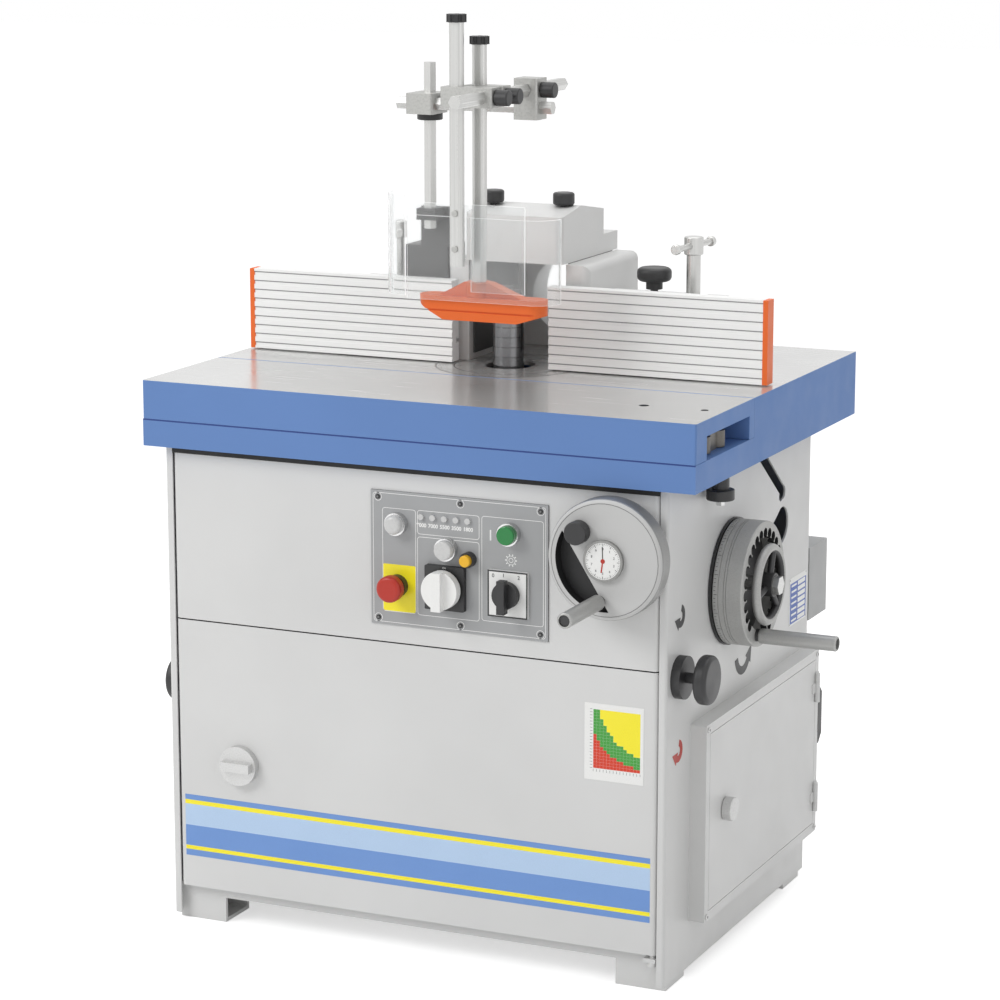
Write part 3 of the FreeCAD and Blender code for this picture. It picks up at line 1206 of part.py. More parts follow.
# Tilt handwheel: a thick wheel with a pocket on one side, and the pin of its grip
wheel = rod_y(WORM_X, WORM_Z, WHEEL_R, wheel_y0, wheel_y1)
wheel = knob(wheel, WHEEL_EDGE_R)
hub = rod_y(WORM_X, WORM_Z, HUB_R, wheel_y1 - WHEEL_BACK_D - CUT, -CY - WORM_BEARING_T - GAP)
back_ring = rod_y(WORM_X, WORM_Z, WHEEL_BACK_R, wheel_y1 - WHEEL_BACK_D, wheel_y1 + CUT)
(chord_x0, chord_z0), (chord_x1, chord_z1) = POCKET_CHORD
side = V(chord_z1 - chord_z0, 0, chord_x0 - chord_x1)
side.normalize()
side.multiply(2 * WHEEL_R)
lead = V(chord_x1 - chord_x0, 0, chord_z1 - chord_z0)
start = V(WORM_X + chord_x0, wheel_y0 - CUT, WORM_Z + chord_z0)
corners = [start.sub(lead), start.add(lead).add(lead), start.add(lead).add(lead).add(side),
           start.sub(lead).add(side)]
pocket = rod_y(WORM_X, WORM_Z, POCKET_R, wheel_y0 - CUT, wheel_y0 + POCKET_D)
pocket = pocket.common(prism(corners, V(0, POCKET_D + 2 * CUT, 0)))
pin_root = wheel_y0 + POCKET_D + GRIP_PIN_ROOT
grip_x, grip_z = WORM_X + TILT_GRIP_DX, WORM_Z + TILT_GRIP_DZ
lock_x, lock_zc = WORM_X + LOCK_KNOB_DX, WORM_Z + LOCK_KNOB_DZ
wheel = join([wheel.cut(back_ring), hub])
wheel = cut(wheel, [pocket,
                    rod_y(WORM_X, WORM_Z, INDICATOR_R, wheel_y0 - CUT, shaft_y0),
                    rod_y(WORM_X, WORM_Z, WORM_SHAFT_R, shaft_y0 - CUT, wheel_y1 + WHEEL_OUT),
                    rod_y(grip_x, grip_z, GRIP_PIN_R, wheel_y0 - CUT, pin_root),
                    rod_y(lock_x, lock_zc, LOCK_STEM_R + FIT, wheel_y0 - CUT, wheel_y0 + LOCK_STEM_L + SEAM)])
grip_y0 = wheel_y0 - GRIP_NECK_L - GAP - GRIP_L
grip_pin = join([rod_y(grip_x, grip_z, GRIP_PIN_R, grip_y0 + GRIP_SINK - GRIP_HEAD_T, pin_root),
                 rod_y(grip_x, grip_z, GRIP_NECK_R, wheel_y0 - GRIP_NECK_L, wheel_y0),
                 rod_y(grip_x, grip_z, GRIP_HEAD_R, grip_y0 + GRIP_SINK - GRIP_HEAD_T - GAP,
                       grip_y0 + GRIP_SINK - GAP)])
save("tilt_handwheel", [wheel, grip_pin])
grip = knob(rod_y(grip_x, grip_z, GRIP_R, grip_y0, grip_y0 + GRIP_L), GRIP_EDGE_R)
grip = cut(grip, [rod_y(grip_x, grip_z, GRIP_PIN_R + FIT, grip_y0 - CUT, grip_y0 + GRIP_L + CUT),
                  rod_y(grip_x, grip_z, GRIP_SINK_R, grip_y0 - CUT, grip_y0 + GRIP_SINK)])
save("tilt_grip", [grip])
lock_knob = join([knob(rod_y(lock_x, lock_zc, LOCK_KNOB_R, wheel_y0 - GAP - LOCK_KNOB_T, wheel_y0 - GAP),
                       CAP_EDGE_R),
                  rod_y(lock_x, lock_zc, LOCK_STEM_R, wheel_y0 - SEAM, wheel_y0 + LOCK_STEM_L)])
save("tilt_lock_knob", [lock_knob])
ind_y0 = wheel_y0 - INDICATOR_OUT
indicator = rod_y(WORM_X, WORM_Z, INDICATOR_R, ind_y0, shaft_y0)
lens_in = INDICATOR_R - INDICATOR_RIM
indicator = indicator.cut(rod_y(WORM_X, WORM_Z, lens_in, ind_y0 - CUT, ind_y0 + INDICATOR_RECESS))
dial_lens = rod_y(WORM_X, WORM_Z, lens_in, ind_y0 + SEAM / 2, ind_y0 + SEAM / 2 + LENS_T)
save("gravity_indicator", [indicator, dial_lens])

# Height handwheel: drum with scalloped lip, cover, grip pin, shaft and lock wheel
drum_x0 = tube_end + DRUM_GAP
drum_x1 = drum_x0 + DRUM_L
web_x = drum_x0 + DRUM_WEB_T
lip_x = drum_x1 - DRUM_LIP_T


def on_drum(r, degrees):
    a = math.radians(degrees)
    return HEIGHT_Y + r * math.cos(a), HEIGHT_Z + r * math.sin(a)


drum = knob(rod_x(HEIGHT_Y, HEIGHT_Z, DRUM_R, drum_x0, drum_x1), CAP_EDGE_R)
drum_cuts = [rod_x(HEIGHT_Y, HEIGHT_Z, DRUM_CAVITY_R, web_x, lip_x),
             rod_x(HEIGHT_Y, HEIGHT_Z, HEIGHT_SHAFT_R, drum_x0 - CUT, web_x + CUT)]
opening = [rod_x(HEIGHT_Y, HEIGHT_Z, DRUM_TIP_R, lip_x - CUT, drum_x1 + CUT)]
scallop_step = 360.0 / SCALLOP_COUNT
for i in range(SCALLOP_SKIP_COUNT // 2, SCALLOP_COUNT - SCALLOP_SKIP_COUNT // 2 + 1):
    y, z = on_drum(SCALLOP_AT_R, HEIGHT_GRIP_DEG + i * scallop_step)
    opening.append(rod_x(y, z, SCALLOP_R, lip_x - CUT, drum_x1 + CUT))
drum_cuts.append(join(opening))
for share in DRUM_GROOVE_SHARES:
    x = drum_x0 + DRUM_L * share
    ring = rod_x(HEIGHT_Y, HEIGHT_Z, DRUM_R + CUT, x, x + DRUM_GROOVE)
    drum_cuts.append(ring.cut(rod_x(HEIGHT_Y, HEIGHT_Z, DRUM_R - DRUM_GROOVE, x - CUT, x + CUT)))
pin_y, pin_z = on_drum(HEIGHT_GRIP_AT, HEIGHT_GRIP_DEG)
drum_cuts.append(rod_x(pin_y, pin_z, GRIP_PIN_R, lip_x - CUT, drum_x1 + CUT))
drum = cut(drum, drum_cuts)
cover = rod_x(HEIGHT_Y, HEIGHT_Z, DRUM_CAVITY_R - COVER_GAP, web_x, web_x + COVER_T)
cover = cover.cut(rod_x(HEIGHT_Y, HEIGHT_Z, HEIGHT_SHAFT_R, web_x - CUT, web_x + COVER_T + CUT))
crank_x0 = drum_x1 + GRIP_NECK_L + GAP
crank_x1 = crank_x0 + GRIP_L
crank_pin = join([rod_x(pin_y, pin_z, GRIP_PIN_R, lip_x, crank_x1 - GRIP_SINK + GRIP_HEAD_T),
                  rod_x(pin_y, pin_z, GRIP_NECK_R, drum_x1, drum_x1 + GRIP_NECK_L),
                  rod_x(pin_y, pin_z, GRIP_HEAD_R, crank_x1 - GRIP_SINK + GAP,
                        crank_x1 - GRIP_SINK + GAP + GRIP_HEAD_T)])
save("height_drum", [drum, cover, crank_pin])
crank = knob(rod_x(pin_y, pin_z, GRIP_R, crank_x0, crank_x1), GRIP_EDGE_R)
crank = cut(crank, [rod_x(pin_y, pin_z, GRIP_PIN_R + FIT, crank_x0 - CUT, crank_x1 + CUT),
                    rod_x(pin_y, pin_z, GRIP_SINK_R, crank_x1 - GRIP_SINK, crank_x1 + CUT)])
save("height_grip", [crank])
lock_rim_x = drum_x1 + LOCK_RIM_OUT
lock_hub_x0 = lock_rim_x - LOCK_HUB_L / 2
lock_hub_x1 = lock_rim_x + LOCK_HUB_L / 2
rim_ring = Part.makeTorus(LOCK_RIM_R, LOCK_RIM_WIRE, V(lock_rim_x, HEIGHT_Y, HEIGHT_Z), V(1, 0, 0))
lock_parts = [rim_ring, rod_x(HEIGHT_Y, HEIGHT_Z, LOCK_HUB_R, lock_hub_x0, lock_hub_x1)]
for i in range(LOCK_SPOKE_COUNT):
    y, z = on_drum(LOCK_RIM_R, HEIGHT_GRIP_DEG + 360.0 * (i + 0.5) / LOCK_SPOKE_COUNT)
    centre = V(lock_rim_x, HEIGHT_Y, HEIGHT_Z)
    out = V(lock_rim_x, y, z).sub(centre)
    lock_parts.append(Part.makeCylinder(LOCK_SPOKE_R, LOCK_RIM_R, centre, out))
lock_wheel = join(lock_parts).cut(rod_x(HEIGHT_Y, HEIGHT_Z, HEIGHT_SHAFT_R + FIT, lock_hub_x0 - CUT,
                                        lock_hub_x1 + CUT))
save("height_lock_wheel", [lock_wheel])
bevel_x0 = SCREW_X + BEVEL_R_SMALL + BEVEL_GAP
bevel_x1 = bevel_x0 + BEVEL_L
bevel = Part.makeCone(BEVEL_R_SMALL, BEVEL_R, BEVEL_L, V(bevel_x0, HEIGHT_Y, HEIGHT_Z), V(1, 0, 0))
shaft_nut = hex_x(HEIGHT_Y, HEIGHT_Z, 2 * NUT_R, lock_hub_x1 + GAP, lock_hub_x1 + GAP + NUT_T)
height_shaft = join([bevel, rod_x(HEIGHT_Y, HEIGHT_Z, HEIGHT_SHAFT_R, bevel_x1, lock_hub_x1 + NUT_T / 2),
                     shaft_nut])
save("height_shaft", [height_shaft])
screw_z0 = low_lug_z1 - SCREW_LUG_T - SEAM
screw_z1 = TABLE_TOP - SCREW_TOP_DROP + SEAM
bevel_z1 = HEIGHT_Z - BEVEL_R_SMALL - BEVEL_GAP
screw_bevel = Part.makeCone(BEVEL_R, BEVEL_R_SMALL, BEVEL_L, V(SCREW_X, HEIGHT_Y, bevel_z1 - BEVEL_L), V(0,
                                                                                                         0,
                                                                                                         1))
height_screw = join([rod_z(SCREW_X, HEIGHT_Y, SCREW_R, screw_z0, screw_z1), screw_bevel])
save("height_screw", [height_screw])

# Quill carriage running on the cradle rails, with the motor plate and the nut of the screw
quill_z0, quill_z1 = TABLE_TOP - QUILL_BOTTOM_DROP, TABLE_TOP - QUILL_TOP_DROP
wing_z0, wing_z1 = TABLE_TOP - WING_BOTTOM_DROP, TABLE_TOP - WING_TOP_DROP
motor_z1 = TABLE_TOP - MOTOR_TOP_DROP
plate_z1 = motor_z1 + MOTOR_PLATE_T
wing_x = CRADLE_IN - GAP
nut_z1 = TABLE_TOP - NUT_LUG_TOP_DROP
wing_y0 = SPY - WING_T / 2
motor_plate_y0 = MOTOR_Y - MOTOR_PLATE_HALF
strut_y0 = SPY - QUILL_R - MOTOR_PLATE_T
strut_half = MOTOR_PLATE_HALF
carriage = [rod_z(SPX, SPY, QUILL_R, quill_z0, quill_z1),
            block(SPX - wing_x, SPX + wing_x, wing_y0, SPY + WING_T / 2, wing_z0, wing_z1),
            block(SCREW_X - SCREW_LUG_HALF, SPX + wing_x, HEIGHT_Y - SCREW_LUG_HALF, wing_y0,
                  nut_z1 - NUT_LUG_T,
                  nut_z1),
            block(SPX - strut_half, SPX + strut_half, strut_y0, strut_y0 + MOTOR_PLATE_T, motor_z1, wing_z1),
            block(SPX - strut_half, SPX - strut_half + MOTOR_PLATE_T, strut_y0, wing_y0, wing_z0, wing_z1),
            block(SPX + strut_half - MOTOR_PLATE_T, SPX + strut_half, strut_y0, wing_y0, wing_z0, wing_z1),
            block(SPX - strut_half, SPX + strut_half, motor_plate_y0, strut_y0 + MOTOR_PLATE_T, motor_z1,
                  plate_z1)]
carriage = join(carriage)
belt_z0 = TABLE_TOP - PULLEY_DROP - PULLEY_H / 2 - BELT_H / 2
belt_window = block(SPX - MOTOR_PULLEY_R - BELT_T - CUT, SPX + MOTOR_PULLEY_R + BELT_T + CUT, strut_y0 - CUT,
                    strut_y0 + MOTOR_PLATE_T + CUT, plate_z1, quill_z0)
bearing_z = (quill_z1 - SHEET - BEARING_T, quill_z0 + SHEET)
carriage_cuts = [rod_z(SPX, SPY, SPINDLE_R + SEAM, quill_z0 - CUT, quill_z1 + CUT), belt_window,
                 rod_z(SCREW_X, HEIGHT_Y, SCREW_R + FIT, nut_z1 - NUT_LUG_T - CUT, nut_z1 + CUT),
                 rod_z(SPX, MOTOR_Y, MOTOR_BORE_R, motor_z1 - CUT, plate_z1 + CUT)]
for z in bearing_z:
    carriage_cuts.append(rod_z(SPX, SPY, BEARING_R, z, z + BEARING_T))
groove_half = GUIDE_RAIL_W / 2 + GAP
groove_in = CRADLE_IN - GUIDE_RAIL_D - GAP
for x0, x1 in ((SPX - CRADLE_IN - CUT, SPX - groove_in), (SPX + groove_in, SPX + CRADLE_IN + CUT)):
    carriage_cuts.append(block(x0, x1, SPY - groove_half, SPY + groove_half, wing_z0 - CUT, wing_z1 + CUT))
carriage = cut(carriage, carriage_cuts)
bearings = []
for z in bearing_z:
    bearing = rod_z(SPX, SPY, BEARING_R, z, z + BEARING_T)
    bearings.append(bearing.cut(rod_z(SPX, SPY, SPINDLE_R + FIT, z - CUT, z + BEARING_T + CUT)))
save("quill_carriage", [carriage] + bearings)

# Motor hanging under its plate, fins around a core, fan cover below
motor_z0 = motor_z1 - MOTOR_L
core = [rod_z(SPX, MOTOR_Y, MOTOR_CORE_R, motor_z0 + MOTOR_CAP_L, motor_z1),
        rod_z(SPX, MOTOR_Y, MOTOR_R, motor_z1 - MOTOR_PLATE_T, motor_z1),
        rod_z(SPX, MOTOR_Y, MOTOR_R, motor_z0, motor_z0 + MOTOR_CAP_L),
        block(SPX - MOTOR_BOX_W / 2, SPX + MOTOR_BOX_W / 2, MOTOR_Y - MOTOR_R - MOTOR_BOX_D + MOTOR_FIN,
              MOTOR_Y - MOTOR_CORE_R / 2, motor_z1 - MOTOR_BOX_H - MOTOR_CAP_L, motor_z1 - MOTOR_CAP_L)]
for i in range(MOTOR_FIN_COUNT):
    fin = block(SPX + MOTOR_CORE_R - MOTOR_FIN, SPX + MOTOR_R - SEAM, MOTOR_Y - MOTOR_FIN_T / 2,
                MOTOR_Y + MOTOR_FIN_T / 2, motor_z0 + MOTOR_CAP_L, motor_z1)
    fin.rotate(V(SPX, MOTOR_Y, 0), V(0, 0, 1), 360.0 * i / MOTOR_FIN_COUNT)
    core.append(fin)
motor = join(core).cut(rod_z(SPX, MOTOR_Y, MOTOR_SHAFT_R + FIT, motor_z0 + MOTOR_CAP_L, motor_z1 + CUT))
save("drive_motor", [motor])


# Pulleys and belt
def pulley(y, r):
    z1 = TABLE_TOP - PULLEY_DROP
    rim_part = rod_z(SPX, y, r, z1 - PULLEY_H, z1)
    ring = rod_z(SPX, y, r + CUT, belt_z0 - GAP, belt_z0 + BELT_H + GAP)
    ring = ring.cut(rod_z(SPX, y, r - PULLEY_GROOVE, belt_z0 - CUT, belt_z0 + BELT_H + CUT))
    return rim_part.cut(ring)


def belt_outline(spare, z0, z1):
    r0, r1 = PULLEY_R - PULLEY_GROOVE + spare, MOTOR_PULLEY_R - PULLEY_GROOVE + spare
    lean = math.asin((r1 - r0) / MOTOR_FRONT)
    c, s = math.cos(lean), math.sin(lean)
    corners = [V(SPX + r0 * c, SPY - r0 * s, z0), V(SPX - r0 * c, SPY - r0 * s, z0),
               V(SPX - r1 * c, MOTOR_Y - r1 * s, z0), V(SPX + r1 * c, MOTOR_Y - r1 * s, z0)]
    return join([prism(corners, V(0, 0, z1 - z0)), rod_z(SPX, SPY, r0, z0, z1), rod_z(SPX, MOTOR_Y, r1, z0,
                                                                                      z1)])


belt = belt_outline(GAP + BELT_T, belt_z0, belt_z0 + BELT_H)
belt = belt.cut(belt_outline(GAP, belt_z0 - CUT, belt_z0 + BELT_H + CUT))
save("drive_belt", [belt])
pulley_z0 = TABLE_TOP - PULLEY_DROP - PULLEY_H
motor_rotor = join([pulley(MOTOR_Y, MOTOR_PULLEY_R),
                    rod_z(SPX, MOTOR_Y, MOTOR_SHAFT_R, motor_z0 + MOTOR_CAP_L + SEAM, pulley_z0 + PULLEY_H)])
save("motor_pulley", [motor_rotor])

# Spindle with pulley, head, arbor and top screw, and its spacer rings
head_z0 = TABLE_TOP - SPINDLE_HEAD_DROP
arbor_z1 = TABLE_TOP + ARBOR_RISE
spindle = join([pulley(SPY, PULLEY_R), rod_z(SPX, SPY, SPINDLE_R, pulley_z0, head_z0),
                rod_z(SPX, SPY, SPINDLE_HEAD_R, head_z0, TABLE_TOP),
                rod_z(SPX, SPY, ARBOR_R, TABLE_TOP, arbor_z1),
                rod_z(SPX, SPY, ARBOR_CAP_R, arbor_z1 - ARBOR_CAP_H, arbor_z1),
                hex_z(SPX, SPY, 2 * ARBOR_SCREW_R, arbor_z1, arbor_z1 + ARBOR_SCREW_H)])
save("spindle", [spindle])
spacers = []
for i in range(RING_COUNT):
    z0 = TABLE_TOP + i * SPACER_H
    ring = knob(rod_z(SPX, SPY, SPINDLE_HEAD_R, z0, z0 + SPACER_H - SPACER_GAP), SPACER_GAP * 2)
    spacers.append(ring.cut(rod_z(SPX, SPY, ARBOR_R + SPACER_BORE_GAP, z0 - CUT, z0 + SPACER_H + CUT)))
save("spacer_rings", spacers)

# Fence casting: two cheeks, back wall, flanges, the left jaw, the inner housing and the guard bracket
fence_z = TABLE_TOP + CASTING_LIFT
cheek_z1 = TABLE_TOP + CHEEK_H
plate_back = SPY + FENCE_FRONT + FENCE_PLATE_T
jaw_y0 = plate_back + GAP
jaw_z1 = TABLE_TOP + JAW_H
left_in = SPX - CHEEK_LEFT_IN
right_in = SPX + CHEEK_RIGHT_IN
left_out, right_out = left_in - CHEEK_T, right_in + CHEEK_T
back_y0 = SPY + FENCE_BACK - FENCE_BACK_T
back_y1 = SPY + FENCE_BACK


def cheek(x0, x1, outer):
    shape = block(x0, x1, SPY + CHEEK_FRONT, back_y1, fence_z, cheek_z1)

    def wanted(e):
        c = e.CenterOfMass
        front_edge = along(e, V(0, 0, 1)) and c.y < SPY + CHEEK_FRONT + SEAM and abs(c.x - outer) < SEAM
        top_edge = along(e, V(0, 1, 0)) and c.z > cheek_z1 - SEAM and abs(c.x - outer) < SEAM
        return front_edge or top_edge
    return round_where(shape, CHEEK_EDGE_R, wanted)


flange_y0 = SPY + FLANGE_FRONT
flange_z1 = fence_z + FLANGE_H
slot_r = CLAMP_R + CLAMP_SLOT_GAP
slot_y0 = SPY + CLAMP_Y - CLAMP_SLOT_L / 2
slot_y1 = SPY + CLAMP_Y + CLAMP_SLOT_L / 4
left_slot = slot_z(clamp_places[0], slot_y0, slot_y1, slot_r, fence_z - CUT, jaw_z1 + CUT)
right_slot = slot_z(clamp_places[1], slot_y0, slot_y1, slot_r, fence_z - CUT, jaw_z1 + CUT)
flange_y1 = slot_y1 + slot_r + SKIRT_T
casting = join([cheek(left_out, left_in, left_out), cheek(right_in, right_out, right_out),
                block(left_out, right_out, back_y0, back_y1, fence_z, cheek_z1 - CHEEK_EDGE_R),
                block(left_out - FLANGE_L, left_out, flange_y0, flange_y1, fence_z, flange_z1),
                block(right_out, right_out + FLANGE_L, flange_y0, flange_y1, fence_z, flange_z1)])
spigot_x = (left_in + right_in) / 2
spigot_z = TABLE_TOP + SPIGOT_RISE
spigot_in = SPIGOT_R - SPIGOT_WALL
casting = cut(casting, [rod_y(spigot_x, spigot_z, spigot_in, back_y0 - CUT, back_y1 + CUT), left_slot,
                        right_slot])


def jaw(x0, x1, inner_x, side_z0):
    shell = block(x0, x1, jaw_y0, jaw_y0 + JAW_D, TABLE_TOP + FENCE_LIFT, jaw_z1)
    hollow_part = block(x0 + JAW_WALL, x1 - JAW_WALL, jaw_y0 + JAW_WALL, jaw_y0 + JAW_D + CUT,
                        TABLE_TOP, jaw_z1 - JAW_WALL)
    notch = block(inner_x - JAW_WALL - CUT, inner_x + JAW_WALL + CUT, jaw_y0 + JAW_WALL, jaw_y0 + JAW_D + CUT,
                  TABLE_TOP, side_z0)
    return cut(shell, [hollow_part, notch])


notch_z = flange_z1 + SEAM
jaw_left_x0 = left_out - JAW_L
left_jaw = jaw(jaw_left_x0, left_out, left_out, notch_z).cut(left_slot)
outer_notch = block(jaw_left_x0 - CUT, jaw_left_x0 + JAW_WALL + CUT, jaw_y0 + JAW_WALL, jaw_y0 + JAW_D + CUT,
                    TABLE_TOP, notch_z)
left_jaw = left_jaw.cut(outer_notch)
housing_z0 = TABLE_TOP + HOUSING_LIFT
hood_z0 = TABLE_TOP + HOOD_Z0
housing = [block(left_in, left_in + HOUSING_SHEET, SPY + HOUSING_FRONT, back_y0, housing_z0, hood_z0),
           block(right_in - HOUSING_SHEET, right_in, SPY + HOUSING_FRONT, back_y0, housing_z0, hood_z0)]
spigot = join([block(spigot_x - SPIGOT_FLANGE, spigot_x + SPIGOT_FLANGE, back_y1, back_y1 + SPIGOT_WALL,
                     spigot_z - SPIGOT_FLANGE, spigot_z + SPIGOT_FLANGE),
               rod_y(spigot_x, spigot_z, SPIGOT_R, back_y1, back_y1 + SPIGOT_L)])
spigot = spigot.cut(rod_y(spigot_x, spigot_z, spigot_in, back_y1 - CUT, back_y1 + SPIGOT_L + CUT))
column_x, column_y = SPX + COLUMN_X, SPY + COLUMN_Y
bracket_y0 = column_y + BRACKET_BACK
collar_z1 = TABLE_TOP + BRACKET_TOP
bracket = join([block(left_out - BRACKET_W, left_out, bracket_y0, bracket_y0 + BRACKET_D,
                      jaw_z1, jaw_z1 + BRACKET_H),
                block(column_x - BRACKET_PLATE_W / 2, column_x + BRACKET_PLATE_W / 2, bracket_y0,
                      bracket_y0 + BRACKET_PLATE_T, jaw_z1 + BRACKET_H, collar_z1),
                block(column_x - COLLAR_HALF, column_x + COLLAR_HALF, column_y - COLLAR_HALF, bracket_y0,
                      collar_z1 - COLLAR_H, collar_z1)])
bracket = bracket.cut(hex_z(column_x, column_y, HEX_AF + 2 * GAP, collar_z1 - COLLAR_H - CUT,
                            collar_z1 + CUT))
save("fence_casting", [casting])
save("fence_fittings", [left_jaw, spigot, bracket] + housing)

# Right jaw with its lock knob
jaw_right_x0 = right_out + GAP
right_jaw = jaw(jaw_right_x0, jaw_right_x0 + JAW_L, jaw_right_x0, notch_z)
right_notch = block(jaw_right_x0 + JAW_L - JAW_WALL - CUT, jaw_right_x0 + JAW_L + CUT, jaw_y0 + JAW_WALL,
                    jaw_y0 + JAW_D + CUT, TABLE_TOP, notch_z)
knob_x, knob_y = jaw_right_x0 + JAW_L - JAW_KNOB_IN, SPY + CLAMP_Y
stem_hole = rod_z(knob_x, knob_y, JAW_KNOB_STEM_R + FIT, jaw_z1 - JAW_WALL - CUT, jaw_z1 + CUT)
save("right_jaw", [cut(right_jaw, [right_notch, right_slot, stem_hole])])
neck_z0 = jaw_z1 + JAW_KNOB_LIFT
cap_z0 = neck_z0 + JAW_KNOB_NECK_L
jaw_knob = join([knob(rod_z(knob_x, knob_y, JAW_KNOB_R, cap_z0, cap_z0 + JAW_KNOB_H), JAW_KNOB_EDGE_R),
                 rod_z(knob_x, knob_y, JAW_KNOB_NECK_R, neck_z0, cap_z0 + JAW_KNOB_H / 2),
                 rod_z(knob_x, knob_y, JAW_KNOB_STEM_R, jaw_z1 - JAW_WALL - JAW_KNOB_STEM_L, cap_z0)])
save("jaw_lock_knob", [jaw_knob])


# Clamp screws through the flanges into the table, with tommy bars
def clamp_screw(x, turn):
    y = SPY + CLAMP_Y
    z1 = TABLE_TOP + CLAMP_RISE
    screw = join([rod_z(x, y, CLAMP_R, TABLE_TOP - CLAMP_DEEP, z1),
                  rod_z(x, y, CLAMP_COLLAR_R, flange_z1 + GAP, flange_z1 + GAP + CLAMP_COLLAR_T),
                  knob(rod_z(x, y, CLAMP_HEAD_R, z1 - CLAMP_HEAD_H, z1), CAP_EDGE_R)])
    bar_z = z1 - CLAMP_HEAD_H / 2
    half = TOMMY_L / 2
    hole = rod_x(y, bar_z, TOMMY_R + FIT, x - half, x + half)
    bar = join([rod_x(y, bar_z, TOMMY_R, x - half, x + half),
                knob(rod_x(y, bar_z, TOMMY_END_R, x - half, x - half + TOMMY_END_L), CAP_EDGE_R),
                knob(rod_x(y, bar_z, TOMMY_END_R, x + half - TOMMY_END_L, x + half), CAP_EDGE_R)])
    pair = [screw.cut(hole), bar]
    for s in pair:
        s.rotate(V(x, y, 0), V(0, 0, 1), turn)
    return pair


for side_name, x, turn in (("left", clamp_places[0], TOMMY_LEFT_DEG), ("right", clamp_places[1],
                                                                       TOMMY_RIGHT_DEG)):
    screw_part, bar_part = clamp_screw(x, turn)
    save("clamp_screw_" + side_name, [screw_part])
    save("tommy_bar_" + side_name, [bar_part])


# Fence plates: grooved extrusions with two T-slots at the back and an end cap
def fence_plate(x0, x1, cap_x0):
    y0, y1 = SPY + FENCE_FRONT, plate_back
    z0 = TABLE_TOP + FENCE_LIFT
    z1 = z0 + FENCE_PLATE_H
    pitch = FENCE_PLATE_H / FENCE_GROOVE_COUNT
    tools = []
    for i in range(FENCE_GROOVE_COUNT):
        z = z0 + i * pitch + pitch * (1 - FENCE_GROOVE_SHARE) / 2
        tools.append(block(x0 - CUT, x1 + CUT, y0 - CUT, y0 + FENCE_GROOVE_D, z,
                           z + pitch * FENCE_GROOVE_SHARE))
    for k in (1, 3):
        z = z0 + FENCE_PLATE_H * k / 4
        tools.append(block(x0 - CUT, x1 + CUT, y1 - TSLOT_D, y1 + CUT, z - TSLOT_W / 4, z + TSLOT_W / 4))
        tools.append(block(x0 - CUT, x1 + CUT, y1 - TSLOT_D, y1 - TSLOT_D / 2, z - TSLOT_W / 2,
                           z + TSLOT_W / 2))
    plate = cut(block(x0, x1, y0, y1, z0, z1), tools)
    cap_piece = block(cap_x0, cap_x0 + CAP_T, y0, y1, z0, z1)
    return [plate, cap_piece]


left_x1 = SPX - FENCE_GAP_LEFT
left_x0 = left_x1 - FENCE_PLATE_L
right_x0 = SPX + FENCE_GAP_RIGHT
right_x1 = right_x0 + FENCE_PLATE_L
save("fence_plate_left", fence_plate(left_x0, left_x1, left_x0 - CAP_T))
save("fence_plate_right", fence_plate(right_x0, right_x1, right_x1))


# Hood of folded sheet with two knobs on studs
def hood_outline(inset, top_inset):
    y0 = SPY + HOOD_FRONT + inset
    y1 = SPY + HOOD_FRONT + HOOD_D - inset
    step_y = SPY + HOOD_FRONT + HOOD_D * HOOD_STEP_SHARE - inset
    ridge_y = SPY + HOOD_FRONT + HOOD_D * HOOD_RIDGE_SHARE
    low = hood_z0 - (CUT if inset else 0)
    return [(y0, low), (y0, hood_z0 + HOOD_FRONT_H - top_inset), (ridge_y,
                                                                  hood_z0 + HOOD_RIDGE_H - top_inset),
            (step_y, hood_z0 + HOOD_STEP_TOP - top_inset), (step_y, hood_z0 + HOOD_STEP_H - top_inset),
            (y1, hood_z0 + HOOD_STEP_H - top_inset), (y1, low)]


hood = prism([V(left_in, y, z) for y, z in hood_outline(0, 0)], V(right_in - left_in, 0, 0))
hood_edge_y = SPY + HOOD_FRONT + SEAM
hood = round_where(hood, HOOD_EDGE_R, lambda e: along(e, V(0, 0, 1)) and e.CenterOfMass.y < hood_edge_y)
hood_in = prism([V(left_in + HOOD_SHEET, y, z) for y, z in hood_outline(HOOD_SHEET, HOOD_SHEET)],
                V(right_in - left_in - 2 * HOOD_SHEET, 0, 0))
hood_in = round_where(hood_in, HOOD_EDGE_R - HOOD_SHEET,
                      lambda e: along(e, V(0, 0, 1)) and e.CenterOfMass.y < hood_edge_y + HOOD_SHEET)
hood = hood.cut(hood_in)
hood_knobs = []
hood_cuts = []
for dx, dy in HOOD_KNOBS:
    x, y = SPX + dx, SPY + dy
    ridge_z = hood_z0 + HOOD_RIDGE_H
    hood_cuts.append(rod_z(x, y, HOOD_KNOB_STEM_R + GAP, hood_z0, ridge_z + CUT))
    hood_knobs.append(join([knob(rod_z(x, y, HOOD_KNOB_R, ridge_z + GAP, ridge_z + HOOD_KNOB_H), KNOB_EDGE_R),
                            rod_z(x, y, HOOD_KNOB_STEM_R, ridge_z - 2 * HOOD_KNOB_H, ridge_z + SEAM)]))
save("extraction_hood", [cut(hood, hood_cuts)] + hood_knobs)

